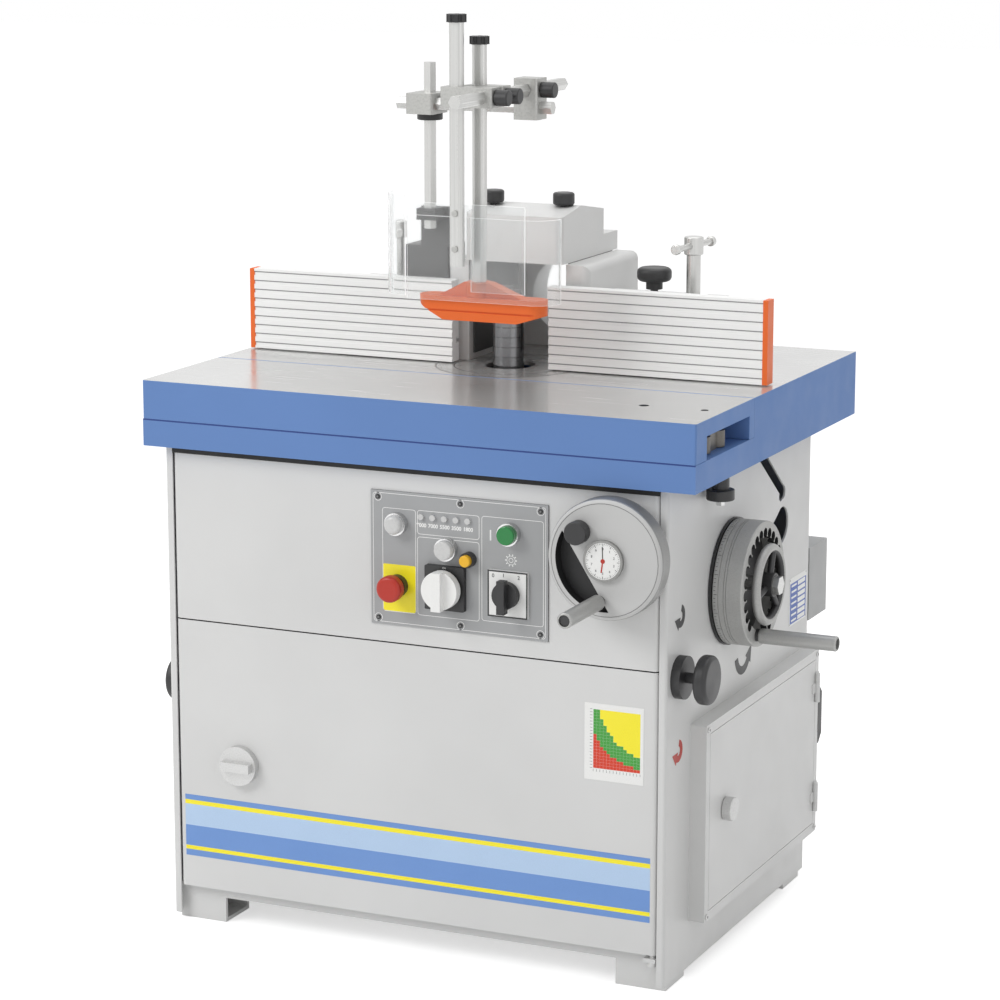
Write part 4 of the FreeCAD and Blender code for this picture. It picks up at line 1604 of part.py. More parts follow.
# Guard column with its cross clamp, knob and collar
x_bar_y, x_bar_z = SPY + X_BAR_Y, TABLE_TOP + X_BAR_RISE
y_bar_x, y_bar_z = SPX + Y_BAR_X, TABLE_TOP + Y_BAR_RISE
column = hex_z(column_x, column_y, HEX_AF, TABLE_TOP + COLUMN_BOTTOM, TABLE_TOP + COLUMN_TOP)
half_h = CLAMP_BLOCK_H / 2
hex_half = HEX_AF / 2
column_block = block(column_x - CLAMP_BLOCK_HALF, column_x + CLAMP_BLOCK_HALF,
                     x_bar_y - hex_half - CLAMP_WALL,
                     column_y + hex_half + CLAMP_WALL, x_bar_z - half_h, x_bar_z + half_h)
column_block = round_where(column_block, KNOB_EDGE_R, lambda e: along(e, V(0, 0, 1)))
block_cuts = [hex_z(column_x, column_y, HEX_AF, x_bar_z - half_h - CUT, x_bar_z + half_h + CUT),
              hex_x(x_bar_y, x_bar_z, HEX_AF + 2 * GAP, column_x - 2 * CLAMP_BLOCK_HALF,
                    column_x + 2 * CLAMP_BLOCK_HALF)]
column_collar = knob(rod_z(column_x, column_y, CLAMP_BLOCK_HALF - SHEET, x_bar_z - half_h - KNOB_L / 2,
                           x_bar_z - half_h), CAP_EDGE_R)
column_collar = column_collar.cut(hex_z(column_x, column_y, HEX_AF, x_bar_z - 2 * CLAMP_BLOCK_H, x_bar_z))
column_knob = knob(rod_x(column_y + SHEET, x_bar_z, KNOB_R, column_x + CLAMP_BLOCK_HALF,
                         column_x + CLAMP_BLOCK_HALF + KNOB_L), CAP_EDGE_R)
save("guard_column", [column, cut(column_block, block_cuts), column_collar, column_knob])

# Cross bar with the clamp that carries the reach bar
x_bar = hex_x(x_bar_y, x_bar_z, HEX_AF, SPX + X_BAR_LEFT, SPX + X_BAR_RIGHT)
cross_y0 = x_bar_y - CROSS_W / 2
cross_y1 = x_bar_y + CROSS_W / 2
cross = block(y_bar_x - CROSS_W / 2, y_bar_x + CROSS_W / 2, cross_y0, cross_y1,
              x_bar_z - hex_half - CLAMP_WALL,
              y_bar_z + hex_half + CLAMP_WALL)
cross = round_where(cross, KNOB_EDGE_R, lambda e: along(e, V(0, 0, 1)))
cross = cut(cross, [hex_x(x_bar_y, x_bar_z, HEX_AF, y_bar_x - CROSS_W, y_bar_x + CROSS_W),
                    hex_y(y_bar_x, y_bar_z, HEX_AF + 2 * GAP, cross_y0 - CUT, cross_y1 + CUT)])
cross_knob = knob(rod_x(x_bar_y, y_bar_z, KNOB_R, y_bar_x + CROSS_W / 2, y_bar_x + CROSS_W / 2 + KNOB_L),
                  CAP_EDGE_R)
save("guard_x_bar", [x_bar, cross, cross_knob])

# Reach bar with the two clamps that carry the oval bars
y_bar = hex_y(y_bar_x, y_bar_z, HEX_AF, SPY + Y_BAR_FRONT, SPY + Y_BAR_BACK)
bars = ((SPX + FRONT_BAR_X, SPY + FRONT_BAR_Y), (SPX + REAR_BAR_X, SPY + REAR_BAR_Y))
y_bar_solids = [y_bar]
for bar_x, bar_y in bars:
    x0 = bar_x - BAR_LONG / 2 - CLAMP_WALL
    x1 = y_bar_x + hex_half + CLAMP_WALL
    y0, y1 = bar_y - BAR_WIDE / 2 - CLAMP_WALL, bar_y + BAR_WIDE / 2 + CLAMP_WALL
    z0, z1 = y_bar_z - BAR_CLAMP_H / 2, y_bar_z + BAR_CLAMP_H / 2
    clamp = round_where(block(x0, x1, y0, y1, z0, z1), KNOB_EDGE_R, lambda e: along(e, V(0, 0, 1)))
    clamp = cut(clamp, [hex_y(y_bar_x, y_bar_z, HEX_AF, y0 - CUT, y1 + CUT),
                        oval_z(bar_x, bar_y, BAR_LONG + 2 * GAP, BAR_WIDE + 2 * GAP, z0 - CUT, z1 + CUT)])
    y_bar_solids.append(clamp)
    y_bar_solids.append(knob(rod_x(bar_y, y_bar_z, KNOB_R, x1, x1 + KNOB_L), CAP_EDGE_R))
save("guard_y_bar", y_bar_solids)


# Oval bars with star caps
def star_cap(x, y, z0):
    cap_disc = rod_z(x, y, STAR_R, z0, z0 + STAR_H)
    tools = []
    for i in range(STAR_COUNT):
        a = 2 * math.pi * i / STAR_COUNT
        tools.append(rod_z(x + STAR_R * math.cos(a), y + STAR_R * math.sin(a), STAR_NOTCH_R, z0 - CUT,
                           z0 + STAR_H + CUT))
    return cut(cap_disc, tools)


front_bar_z0, front_bar_z1 = TABLE_TOP + FRONT_BAR_BOTTOM, TABLE_TOP + FRONT_BAR_TOP
rear_bar_z0, rear_bar_z1 = TABLE_TOP + REAR_BAR_BOTTOM, TABLE_TOP + REAR_BAR_TOP
front_bar = oval_z(bars[0][0], bars[0][1], BAR_LONG, BAR_WIDE, front_bar_z0, front_bar_z1)
rear_bar = oval_z(bars[1][0], bars[1][1], BAR_LONG, BAR_WIDE, rear_bar_z0, rear_bar_z1)
screw_zs = (TABLE_TOP + ARM_RISE + ARM_H * ARM_SCREW_SHARE,
            TABLE_TOP + SHIELD_RISE + SHIELD_H * SHIELD_SCREW_SHARE)
shield_y0 = SPY + SHIELD_Y
shield_screws = []
bar_face = bars[0][1] - BAR_WIDE / 2
shield_cuts = []
for z in screw_zs:
    shield_screws.append(join([rod_y(bars[0][0], z, SHIELD_SCREW_R, bar_face, shield_y0 + SHIELD_T + SHEET),
                               knob(rod_y(bars[0][0], z, SHIELD_SCREW_HEAD_R, bar_face - SHIELD_SCREW_HEAD_T,
                                          bar_face), SHIELD_SCREW_EDGE_R)]))
    shield_cuts.append(rod_y(bars[0][0], z, SHIELD_SCREW_R, bar_face, shield_y0 + SHIELD_BEND_R))
save("guard_bar_front", [cut(front_bar, shield_cuts), star_cap(bars[0][0], bars[0][1],
                                                               front_bar_z1)] + shield_screws)
save("guard_bar_rear", [rear_bar, star_cap(bars[1][0], bars[1][1], rear_bar_z1)])


# Clear shields: a bent front sheet, and a side sheet and a pane on a narrow arm
def quarter_bend(cx, cy, r, x_sign, z0, z1):
    ring = rod_z(cx, cy, r, z0, z1).cut(rod_z(cx, cy, r - SHIELD_T, z0 - CUT, z1 + CUT))
    keep_x0, keep_x1 = (cx, cx + r) if x_sign > 0 else (cx - r, cx)
    return ring.common(block(keep_x0, keep_x1, cy - r, cy, z0, z1))


shield_z0 = TABLE_TOP + SHIELD_RISE
shield_z1 = shield_z0 + SHIELD_H
bend_x = SPX + SHIELD_BEND_X
front_shield = join([block(SPX + SHIELD_LEFT, bend_x, shield_y0, shield_y0 + SHIELD_T, shield_z0, shield_z1),
                     quarter_bend(bend_x, shield_y0 + SHIELD_BEND_R, SHIELD_BEND_R, 1, shield_z0, shield_z1)])
arm_y0 = shield_y0 - ARM_GAP - SHIELD_T
arm_z0 = TABLE_TOP + ARM_RISE
side_z0 = TABLE_TOP + SIDE_RISE
side_shield = join([block(SPX + ARM_LEFT, SPX + ARM_RIGHT, arm_y0, arm_y0 + SHIELD_T, arm_z0, arm_z0 + ARM_H),
                    block(SPX + PANE_LEFT, SPX + ARM_RIGHT, arm_y0, arm_y0 + SHIELD_T,
                          TABLE_TOP + PANE_RISE, arm_z0),
                    quarter_bend(SPX + ARM_LEFT, arm_y0 + SIDE_BEND_R, SIDE_BEND_R, -1, side_z0,
                                 side_z0 + SIDE_H)])
save("clear_shields", [cut(front_shield, shield_cuts[1:]), cut(side_shield, shield_cuts[:1])])

# Orange pressure shoe with the boss of the rear bar
shoe_y = SPY + REAR_BAR_Y
shoe_half = SHOE_D / 2
shoe_z0 = TABLE_TOP + SHOE_RISE
shoe_x0, shoe_x1 = SPX + SHOE_LEFT, SPX + SHOE_RIGHT
shoe = join([block(shoe_x0 + shoe_half, shoe_x1 - shoe_half, shoe_y - shoe_half, shoe_y + shoe_half, shoe_z0,
                   shoe_z0 + SHOE_H),
             rod_z(shoe_x0 + shoe_half, shoe_y, shoe_half, shoe_z0, shoe_z0 + SHOE_H),
             rod_z(shoe_x1 - shoe_half, shoe_y, shoe_half, shoe_z0, shoe_z0 + SHOE_H)])
shoe_z1 = shoe_z0 + SHOE_H
shoe_profile = [(shoe_x0, shoe_z0 + SHOE_LEFT_SLOPE[1]), (shoe_x0 + SHOE_LEFT_SLOPE[0], shoe_z0),
                (shoe_x1 - SHOE_RIGHT_SLOPE[0], shoe_z0), (shoe_x1, shoe_z0 + SHOE_RIGHT_SLOPE[1]),
                (shoe_x1, shoe_z1), (shoe_x0, shoe_z1)]
shoe_front = shoe_y - shoe_half
shoe = shoe.common(prism([V(x, shoe_front, z) for x, z in shoe_profile], V(0, SHOE_D, 0)))
groove_z = shoe_z0 + SHOE_GROOVE_Z
shoe = shoe.cut(block(shoe_x0, shoe_x1, shoe_front - CUT, shoe_front + SHOE_GROOVE, groove_z,
                      groove_z + SHOE_GROOVE))
boss_x = bars[1][0]
boss_z1 = shoe_z1 + BOSS_H
fairing = [(boss_x - FAIRING_LEFT, shoe_z1), (boss_x + FAIRING_RIGHT, shoe_z1), (boss_x + BOSS_R, boss_z1),
           (boss_x - BOSS_R, boss_z1)]
fairing = prism([V(x, shoe_y - FAIRING_W / 2, z) for x, z in fairing], V(0, FAIRING_W, 0))
shoe_boss = rod_z(boss_x, shoe_y, BOSS_R, shoe_z0 + SHOE_H / 2, boss_z1)
shoe = join([shoe, shoe_boss, fairing])
shoe = shoe.cut(oval_z(boss_x, bars[1][1], BAR_LONG, BAR_WIDE, rear_bar_z0, rear_bar_z1))
save("pressure_shoe", [shoe])
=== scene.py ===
import json
import math

import bmesh
import bpy
from mathutils import Matrix, Vector


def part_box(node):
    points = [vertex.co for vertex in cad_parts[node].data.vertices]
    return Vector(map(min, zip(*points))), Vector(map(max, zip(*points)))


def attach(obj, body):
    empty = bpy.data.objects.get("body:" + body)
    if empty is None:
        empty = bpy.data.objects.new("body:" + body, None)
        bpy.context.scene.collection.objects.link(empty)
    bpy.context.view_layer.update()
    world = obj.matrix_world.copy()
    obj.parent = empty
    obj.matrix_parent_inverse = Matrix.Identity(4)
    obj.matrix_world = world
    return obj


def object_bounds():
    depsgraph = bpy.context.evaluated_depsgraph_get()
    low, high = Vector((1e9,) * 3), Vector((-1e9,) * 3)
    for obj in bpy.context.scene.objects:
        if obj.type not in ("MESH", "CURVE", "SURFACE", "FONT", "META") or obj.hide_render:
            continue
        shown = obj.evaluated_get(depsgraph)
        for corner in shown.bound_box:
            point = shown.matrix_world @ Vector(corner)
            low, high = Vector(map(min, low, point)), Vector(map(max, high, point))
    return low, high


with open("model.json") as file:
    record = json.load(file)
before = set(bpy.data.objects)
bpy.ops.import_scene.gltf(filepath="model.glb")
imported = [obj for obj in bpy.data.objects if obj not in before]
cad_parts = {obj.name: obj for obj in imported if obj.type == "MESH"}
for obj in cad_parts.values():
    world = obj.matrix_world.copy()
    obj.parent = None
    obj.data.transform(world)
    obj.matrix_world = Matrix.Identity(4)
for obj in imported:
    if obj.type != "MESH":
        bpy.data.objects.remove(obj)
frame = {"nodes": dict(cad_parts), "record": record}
CAD_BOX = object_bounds()
NODES = frame["nodes"]
BASE = "machine_base"
MM = 0.001

BODY_OF = {node: body for body, nodes in frame["record"]["behaviour"]["bodies"].items() for node in nodes}

# Camera and light, in metres, degrees and watts
CAMERA_AZIMUTH = 24.5
CAMERA_ELEVATION = 11.8
CAMERA_DISTANCE = 5.0
CAMERA_LENS = 115.5
CAMERA_AIM = Vector((0.018, -0.0225, 0.655))
CAMERA_REACH = 100.0
FLOOR_SIZE = 40.0
FLOOR_GLOW = 0.55
FLOOR_GLOSS = 0.7
FLOOR_PEEL = 60.0
WORLD_LIGHT = 0.5
WORLD_SEEN = 1.0
LAMPS = (("key_lamp", (-2.6, -3.4, 3.6), 2.4, 105.0),
         ("fill_lamp", (3.6, -2.2, 2.4), 2.4, 16.0),
         ("top_lamp", (0.2, 0.6, 4.2), 3.0, 50.0))

# Printed sheets and ink, in metres
SHEET_LIFT = 0.15 * MM
SHEET_T = 0.25 * MM
INK_LIFT = SHEET_LIFT + SHEET_T
INK_T = 0.06 * MM
LINE_W = 0.9 * MM
ARC_STEPS = 24
CORNER_STEPS = 6
FULL_TURN = 360.0

# Screen values of a colour against linear light
SCREEN_WHITE = 255.0
DARK_END = 0.04045
DARK_SLOPE = 12.92
CURVE_SHIFT = 0.055
CURVE_POWER = 2.4


def srgb(red, green, blue):
    """A colour given by its screen values from 0 to 255, as linear values."""
    def linear(v):
        v = v / SCREEN_WHITE
        return v / DARK_SLOPE if v <= DARK_END else ((v + CURVE_SHIFT) / (1.0 + CURVE_SHIFT)) ** CURVE_POWER
    return (linear(red), linear(green), linear(blue), 1.0)


CABINET_GREY = srgb(219, 219, 218)
FENCE_GREY = srgb(222, 222, 221)
TABLE_BLUE = srgb(104, 138, 194)
PANEL_GREY = srgb(166, 167, 168)
WHEEL_GREY = srgb(199, 199, 198)
# Painted shade: the wheel rim's grey is darker than its face, for the shade on its side
SHADED_RIM_GREY = srgb(150, 150, 149)
DRUM_GREY = srgb(178, 178, 176)
BAR_GREY = srgb(208, 208, 206)
ANODISED = srgb(246, 246, 245)
ORANGE = srgb(234, 104, 28)
BLACK = srgb(44, 44, 45)
WHITE = srgb(242, 242, 240)
YELLOW = srgb(255, 240, 44)
GREEN = srgb(24, 128, 60)
RED = srgb(182, 42, 24)
AMBER = srgb(242, 186, 36)
CHART_GREEN = srgb(66, 160, 60)
CHART_RED = srgb(216, 60, 30)
STRIPE_BLUE = srgb(112, 152, 214)
STRIPE_PALE = srgb(186, 211, 240)
PLATE_BLUE = srgb(52, 88, 168)
# A darker copy of the table blue, painted shade under the sliding table
SHADED_TABLE_BLUE = srgb(36, 62, 128)
FLOOR_WHITE = srgb(243, 243, 243)
WORLD_WHITE = (1.0, 1.0, 1.0, 1.0)
CLEAR_TINT = (0.97, 0.98, 0.98, 1.0)
SAWN_TINT = (0.95, 0.96, 0.96, 1.0)

# Shader groups
FLOAT = "NodeSocketFloat"
COLOR = "NodeSocketColor"
VECTOR = "NodeSocketVector"
SKIN_OUTPUTS = (("Color", COLOR), ("Roughness", FLOAT), ("Height", FLOAT))
BEVEL_SAMPLES = 4

# The range of a mask, and the range in which most values of a noise lie
FULL = (0.0, 1.0)
USUAL_NOISE = (0.3, 0.7)


def shader_group(name, inputs):
    """A node group with the named inputs and the three outputs of a skin: its tree, inputs and end."""
    tree = bpy.data.node_groups.new(name, "ShaderNodeTree")
    for label, kind, value in inputs:
        socket = tree.interface.new_socket(label, in_out="INPUT", socket_type=kind)
        socket.default_value = value
    for label, kind in SKIN_OUTPUTS:
        tree.interface.new_socket(label, in_out="OUTPUT", socket_type=kind)
    return tree, tree.nodes.new("NodeGroupInput").outputs, tree.nodes.new("NodeGroupOutput").inputs


def noise(tree, vector, scale, detail):
    """The value of a noise texture; scale is a number or a socket."""
    node = tree.nodes.new("ShaderNodeTexNoise")
    node.inputs["Detail"].default_value = detail
    tree.links.new(vector, node.inputs["Vector"])
    if isinstance(scale, (int, float)):
        node.inputs["Scale"].default_value = scale
    else:
        tree.links.new(scale, node.inputs["Scale"])
    return node.outputs["Fac"]


def remap(tree, value, low, high, to_low, to_high):
    """value moved from the range low to high to the range to_low to to_high, and held there."""
    node = tree.nodes.new("ShaderNodeMapRange")
    tree.links.new(value, node.inputs["Value"])
    for label, v in zip(("From Min", "From Max"), (low, high)):
        node.inputs[label].default_value = v
    for label, v in zip(("To Min", "To Max"), (to_low, to_high)):
        if isinstance(v, (int, float)):
            node.inputs[label].default_value = v
        else:
            tree.links.new(v, node.inputs[label])
    return node.outputs["Result"]


def math_node(tree, operation, first, second):
    """One math node of two values, each a number or a socket."""
    node = tree.nodes.new("ShaderNodeMath")
    node.operation = operation
    for socket, v in zip(node.inputs, (first, second)):
        if isinstance(v, (int, float)):
            socket.default_value = v
        else:
            tree.links.new(v, socket)
    return node.outputs["Value"]


def vector_node(tree, operation, first, second=None):
    """One vector math node of a socket and, if given, a second socket or a plain vector."""
    node = tree.nodes.new("ShaderNodeVectorMath")
    node.operation = operation
    tree.links.new(first, node.inputs[0])
    if isinstance(second, tuple):
        node.inputs[1].default_value = second
    elif second is not None:
        tree.links.new(second, node.inputs[1])
    return node.outputs


def blend(tree, factor, first, second):
    """Two colours mixed by a factor."""
    node = tree.nodes.new("ShaderNodeMix")
    node.data_type = "RGBA"
    tree.links.new(factor, node.inputs["Factor"])
    tree.links.new(first, node.inputs["A"])
    tree.links.new(second, node.inputs["B"])
    return node.outputs["Result"]


def place(tree):
    """The place on the object in metres, which moves with its body."""
    return tree.nodes.new("ShaderNodeTexCoord").outputs["Object"]


def edge_mask(tree, radius, sharpness):
    """1 along convex and concave edges within the radius, 0 on open faces."""
    bevel = tree.nodes.new("ShaderNodeBevel")
    bevel.samples = BEVEL_SAMPLES
    tree.links.new(radius, bevel.inputs["Radius"])
    facing = tree.nodes.new("ShaderNodeNewGeometry").outputs["Normal"]
    turn = vector_node(tree, "DOT_PRODUCT", bevel.outputs["Normal"], facing)["Value"]
    return remap(tree, turn, 1.0, sharpness, *FULL)


def end_skin(tree, sink, *results):
    """Joins the colour, roughness and height to the group's outputs."""
    for socket, (label, _) in zip(results, SKIN_OUTPUTS):
        tree.links.new(socket, sink[label])


# Paint: noise scales with their detail, and the noise values between which each effect sets in
PAINT_CLOUD = (3.5, 3.0)
PAINT_SMUDGE = (24.0, 5.0)
PAINT_PEEL_DETAIL = 2.0
PAINT_SHADE_FROM = (0.35, 0.75)
PAINT_EDGE_SHARPNESS = 0.8
PAINT_WEAR_FROM = (0.4, 0.65)
PAINT_WEAR_SHARES = (0.15, 0.8)


def paint_skin():
    """Sprayed paint: slow shade changes, orange peel, and paler worn edges."""
    tree, given, sink = shader_group("paint_skin", (
        ("Paint", COLOR, (0.8, 0.8, 0.8, 1.0)), ("Shade", COLOR, (0.7, 0.7, 0.7, 1.0)),
        ("Edge", COLOR, (0.9, 0.9, 0.9, 1.0)), ("Gloss", FLOAT, 0.35), ("Matt", FLOAT, 0.5),
        ("Peel", FLOAT, 420.0), ("Edge Radius", FLOAT, 0.0015)))
    at = place(tree)
    slow = noise(tree, at, *PAINT_CLOUD)
    fine = noise(tree, at, given["Peel"], PAINT_PEEL_DETAIL)
    smudge = noise(tree, at, *PAINT_SMUDGE)
    base = blend(tree, remap(tree, slow, *PAINT_SHADE_FROM, *FULL), given["Paint"], given["Shade"])
    wear = edge_mask(tree, given["Edge Radius"], PAINT_EDGE_SHARPNESS)
    broken = math_node(tree, "MULTIPLY", wear, remap(tree, smudge, *PAINT_WEAR_FROM, *PAINT_WEAR_SHARES))
    color = blend(tree, broken, base, given["Edge"])
    end_skin(tree, sink, color, remap(tree, smudge, *USUAL_NOISE, given["Gloss"], given["Matt"]), fine)
    return tree


# Ground metal
GROUND_LINES = (1.0, 5.0)
GROUND_STAIN = (7.0, 5.0)
GROUND_LINE_FROM = (0.3, 0.75)
GROUND_STAIN_SHARES = (0.45, 1.0)
GROUND_MIX_SHARES = (0.6, 0.4)
GROUND_GLOSS_FROM = (0.35, 0.65)


def ground_skin():
    """Ground or brushed metal: fine lines drawn out along one direction."""
    tree, given, sink = shader_group("ground_skin", (
        ("Metal", COLOR, (0.6, 0.6, 0.6, 1.0)), ("Line", COLOR, (0.4, 0.4, 0.4, 1.0)),
        ("Stretch", VECTOR, (4.0, 900.0, 900.0)), ("Gloss", FLOAT, 0.22), ("Matt", FLOAT, 0.42)))
    at = place(tree)
    lines = noise(tree, vector_node(tree, "MULTIPLY", at, given["Stretch"])["Vector"], *GROUND_LINES)
    stain = noise(tree, at, *GROUND_STAIN)
    depth = remap(tree, lines, *GROUND_LINE_FROM, *FULL)
    mark = math_node(tree, "MULTIPLY", depth, remap(tree, stain, *USUAL_NOISE, *GROUND_STAIN_SHARES))
    color = blend(tree, mark, given["Metal"], given["Line"])
    mixed = math_node(tree, "ADD", *(math_node(tree, "MULTIPLY", value, share)
                                     for value, share in zip((lines, stain), GROUND_MIX_SHARES)))
    end_skin(tree, sink, color, remap(tree, mixed, *GROUND_GLOSS_FROM, given["Gloss"], given["Matt"]), lines)
    return tree


# Turned metal
TURNED_RINGS = (1.0, 4.0)
TURNED_STAIN = (14.0, 4.0)
TURNED_RING_FROM = (0.35, 0.7)
LEVEL = (1.0, 1.0, 0.0)


def turned_skin():
    """Metal turned on a lathe about an upright axis: fine rings."""
    tree, given, sink = shader_group("turned_skin", (
        ("Metal", COLOR, (0.5, 0.5, 0.5, 1.0)), ("Line", COLOR, (0.3, 0.3, 0.3, 1.0)),
        ("Centre", VECTOR, (0.0, 0.0, 0.0)), ("Rings", FLOAT, 900.0),
        ("Gloss", FLOAT, 0.25), ("Matt", FLOAT, 0.4)))
    at = place(tree)
    away = vector_node(tree, "SUBTRACT", at, given["Centre"])["Vector"]
    flat = vector_node(tree, "MULTIPLY", away, LEVEL)["Vector"]
    reach = vector_node(tree, "LENGTH", flat)["Value"]
    spread = tree.nodes.new("ShaderNodeCombineXYZ")
    tree.links.new(math_node(tree, "MULTIPLY", reach, given["Rings"]), spread.inputs["X"])
    rings = noise(tree, spread.outputs["Vector"], *TURNED_RINGS)
    stain = noise(tree, at, *TURNED_STAIN)
    color = blend(tree, remap(tree, rings, *TURNED_RING_FROM, *FULL), given["Metal"], given["Line"])
    end_skin(tree, sink, color, remap(tree, stain, *USUAL_NOISE, given["Gloss"], given["Matt"]), rings)
    return tree


# Moulded and cast skins
GRAIN_DETAIL = 3.0
GRAIN_CLOUD = (18.0, 4.0)
GRAIN_SPECK_FROM = (0.45, 0.7)
GRAIN_SPECK_SHARES = (0.4, 1.0)
GRAIN_EDGE_SHARPNESS = 0.75
GRAIN_RUB_FROM = (0.35, 0.65)
GRAIN_RUB_SHARES = (0.2, 0.9)


def grain_skin():
    """Moulded or cast surface: an even fine grain with rubbed edges."""
    tree, given, sink = shader_group("grain_skin", (
        ("Body", COLOR, (0.1, 0.1, 0.1, 1.0)), ("Grain", COLOR, (0.15, 0.15, 0.15, 1.0)),
        ("Rubbed", COLOR, (0.2, 0.2, 0.2, 1.0)), ("Scale", FLOAT, 1200.0), ("Gloss", FLOAT, 0.35),
        ("Matt", FLOAT, 0.55), ("Edge Radius", FLOAT, 0.001)))
    at = place(tree)
    grain = noise(tree, at, given["Scale"], GRAIN_DETAIL)
    cloud = noise(tree, at, *GRAIN_CLOUD)
    speck = math_node(tree, "MULTIPLY", remap(tree, grain, *GRAIN_SPECK_FROM, *FULL),
                      remap(tree, cloud, *USUAL_NOISE, *GRAIN_SPECK_SHARES))
    base = blend(tree, speck, given["Body"], given["Grain"])
    rub = math_node(tree, "MULTIPLY", edge_mask(tree, given["Edge Radius"], GRAIN_EDGE_SHARPNESS),
                    remap(tree, cloud, *GRAIN_RUB_FROM, *GRAIN_RUB_SHARES))
    color = blend(tree, rub, base, given["Rubbed"])
    end_skin(tree, sink, color, remap(tree, cloud, *USUAL_NOISE, given["Gloss"], given["Matt"]), grain)
    return tree


PAINT = paint_skin()
GROUND = ground_skin()
TURNED = turned_skin()
GRAIN = grain_skin()


def shaded(color, share):
    """The colour with its brightness times a share."""
    return tuple(min(1.0, c * share) for c in color[:3]) + (1.0,)


def material(name, skin, skin_values, bump, depth, shader_values):
    """A material whose colour, roughness and bump come from one skin group."""
    made = bpy.data.materials.new(name)
    made.use_nodes = True
    nodes, links = made.node_tree.nodes, made.node_tree.links
    shader = nodes["Principled BSDF"]
    group = nodes.new("ShaderNodeGroup")
    group.node_tree = skin
    height = nodes.new("ShaderNodeBump")
    height_values = {"Strength": bump, "Distance": depth}
    for node, values in ((group, skin_values), (height, height_values), (shader, shader_values)):
        for label, value in values.items():
            node.inputs[label].default_value = value
    links.new(group.outputs["Color"], shader.inputs["Base Color"])
    links.new(group.outputs["Roughness"], shader.inputs["Roughness"])
    links.new(group.outputs["Height"], height.inputs["Height"])
    links.new(height.outputs["Normal"], shader.inputs["Normal"])
    return made


# Finishes: the shares of the colour in darker and in rubbed places, how much rougher the matt places
# are, and the strength and depth of the bump
PAINT_SHADE_SHARE = 0.93
PAINT_EDGE_SHARE = 1.12
PAINT_MATT_STEP = 0.14
PAINT_BUMP = 0.12
PAINT_BUMP_DEPTH = 0.2 * MM
PLASTIC_GRAIN_SHARE = 0.9
PLASTIC_RUBBED_SHARE = 1.25
PLASTIC_MATT_STEP = 0.15
PLASTIC_BUMP = 0.08
PLASTIC_BUMP_DEPTH = 0.1 * MM
CAST_GRAIN_SHARE = 0.82
CAST_RUBBED_SHARE = 1.3
CAST_MATT_STEP = 0.16
CAST_BUMP = 0.3
CAST_BUMP_DEPTH = 0.4 * MM
GROUND_MATT_STEP = 0.16
GROUND_BUMP = 0.1
GROUND_BUMP_DEPTH = 0.05 * MM
TURNED_BUMP_DEPTH = 0.1 * MM
CLEAR_GRAIN_SHARE = 0.98
CLEAR_GRAIN_SCALE = 60.0
CLEAR_MATT_STEP = 0.05
CLEAR_BUMP = 0.01
CLEAR_BUMP_DEPTH = 0.02 * MM
CLEAR_IOR = 1.49


def paint(name, color, gloss=0.32, peel=420.0, specular=0.5):
    """Sprayed paint of one colour."""
    return material(name, PAINT, {
        "Paint": color, "Shade": shaded(color, PAINT_SHADE_SHARE), "Edge": shaded(color, PAINT_EDGE_SHARE),
        "Gloss": gloss, "Matt": gloss + PAINT_MATT_STEP, "Peel": peel},
        PAINT_BUMP, PAINT_BUMP_DEPTH, {"Specular IOR Level": specular})


def plastic(name, color, gloss=0.35, scale=1400.0):
    """Moulded plastic or ink of one colour."""
    return material(name, GRAIN, {
        "Body": color, "Grain": shaded(color, PLASTIC_GRAIN_SHARE),
        "Rubbed": shaded(color, PLASTIC_RUBBED_SHARE), "Scale": scale,
        "Gloss": gloss, "Matt": gloss + PLASTIC_MATT_STEP}, PLASTIC_BUMP, PLASTIC_BUMP_DEPTH, {})


def cast(name, color, metallic, gloss=0.42, scale=380.0):
    """Cast metal with a sandy skin."""
    return material(name, GRAIN, {
        "Body": color, "Grain": shaded(color, CAST_GRAIN_SHARE), "Rubbed": shaded(color, CAST_RUBBED_SHARE),
        "Scale": scale, "Gloss": gloss, "Matt": gloss + CAST_MATT_STEP},
        CAST_BUMP, CAST_BUMP_DEPTH, {"Metallic": metallic})


def ground(name, color, stretch, gloss=0.24, metallic=0.9, line=0.76):
    """Ground or drawn metal with lines along one axis; line is the share of the colour in them."""
    return material(name, GROUND, {
        "Metal": color, "Line": shaded(color, line), "Stretch": stretch, "Gloss": gloss,
        "Matt": gloss + GROUND_MATT_STEP}, GROUND_BUMP, GROUND_BUMP_DEPTH, {"Metallic": metallic})


def turned_metal(name, color, line, metallic, gloss, matt, bump=0.1, rings=900.0):
    """Metal turned about the spindle's axis, with rings of the line colour."""
    return material(name, TURNED, {
        "Metal": color, "Line": line, "Centre": SPINDLE_AXIS, "Rings": rings, "Gloss": gloss,
        "Matt": matt}, bump, TURNED_BUMP_DEPTH, {"Metallic": metallic})


def clear_sheet(name, rough, tint, clearness, glow=0.0):
    """Clear plastic sheet with faint wiping marks; glow gives a painted glow, used on its cut edges."""
    return material(name, GRAIN, {
        "Body": tint, "Grain": shaded(tint, CLEAR_GRAIN_SHARE), "Rubbed": tint, "Scale": CLEAR_GRAIN_SCALE,
        "Gloss": rough, "Matt": rough + CLEAR_MATT_STEP}, CLEAR_BUMP, CLEAR_BUMP_DEPTH,
        {"Transmission Weight": clearness, "IOR": CLEAR_IOR, "Emission Color": tint,
         "Emission Strength": glow})


# How much finer the lines of drawn metal are along each axis
ALONG_X = (3.0, 700.0, 700.0)
ALONG_Y = (700.0, 3.0, 700.0)
ALONG_Z = (700.0, 700.0, 3.0)
SPINDLE_LOW, SPINDLE_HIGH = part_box("spindle")
SPINDLE_AXIS = (SPINDLE_LOW + SPINDLE_HIGH) / 2

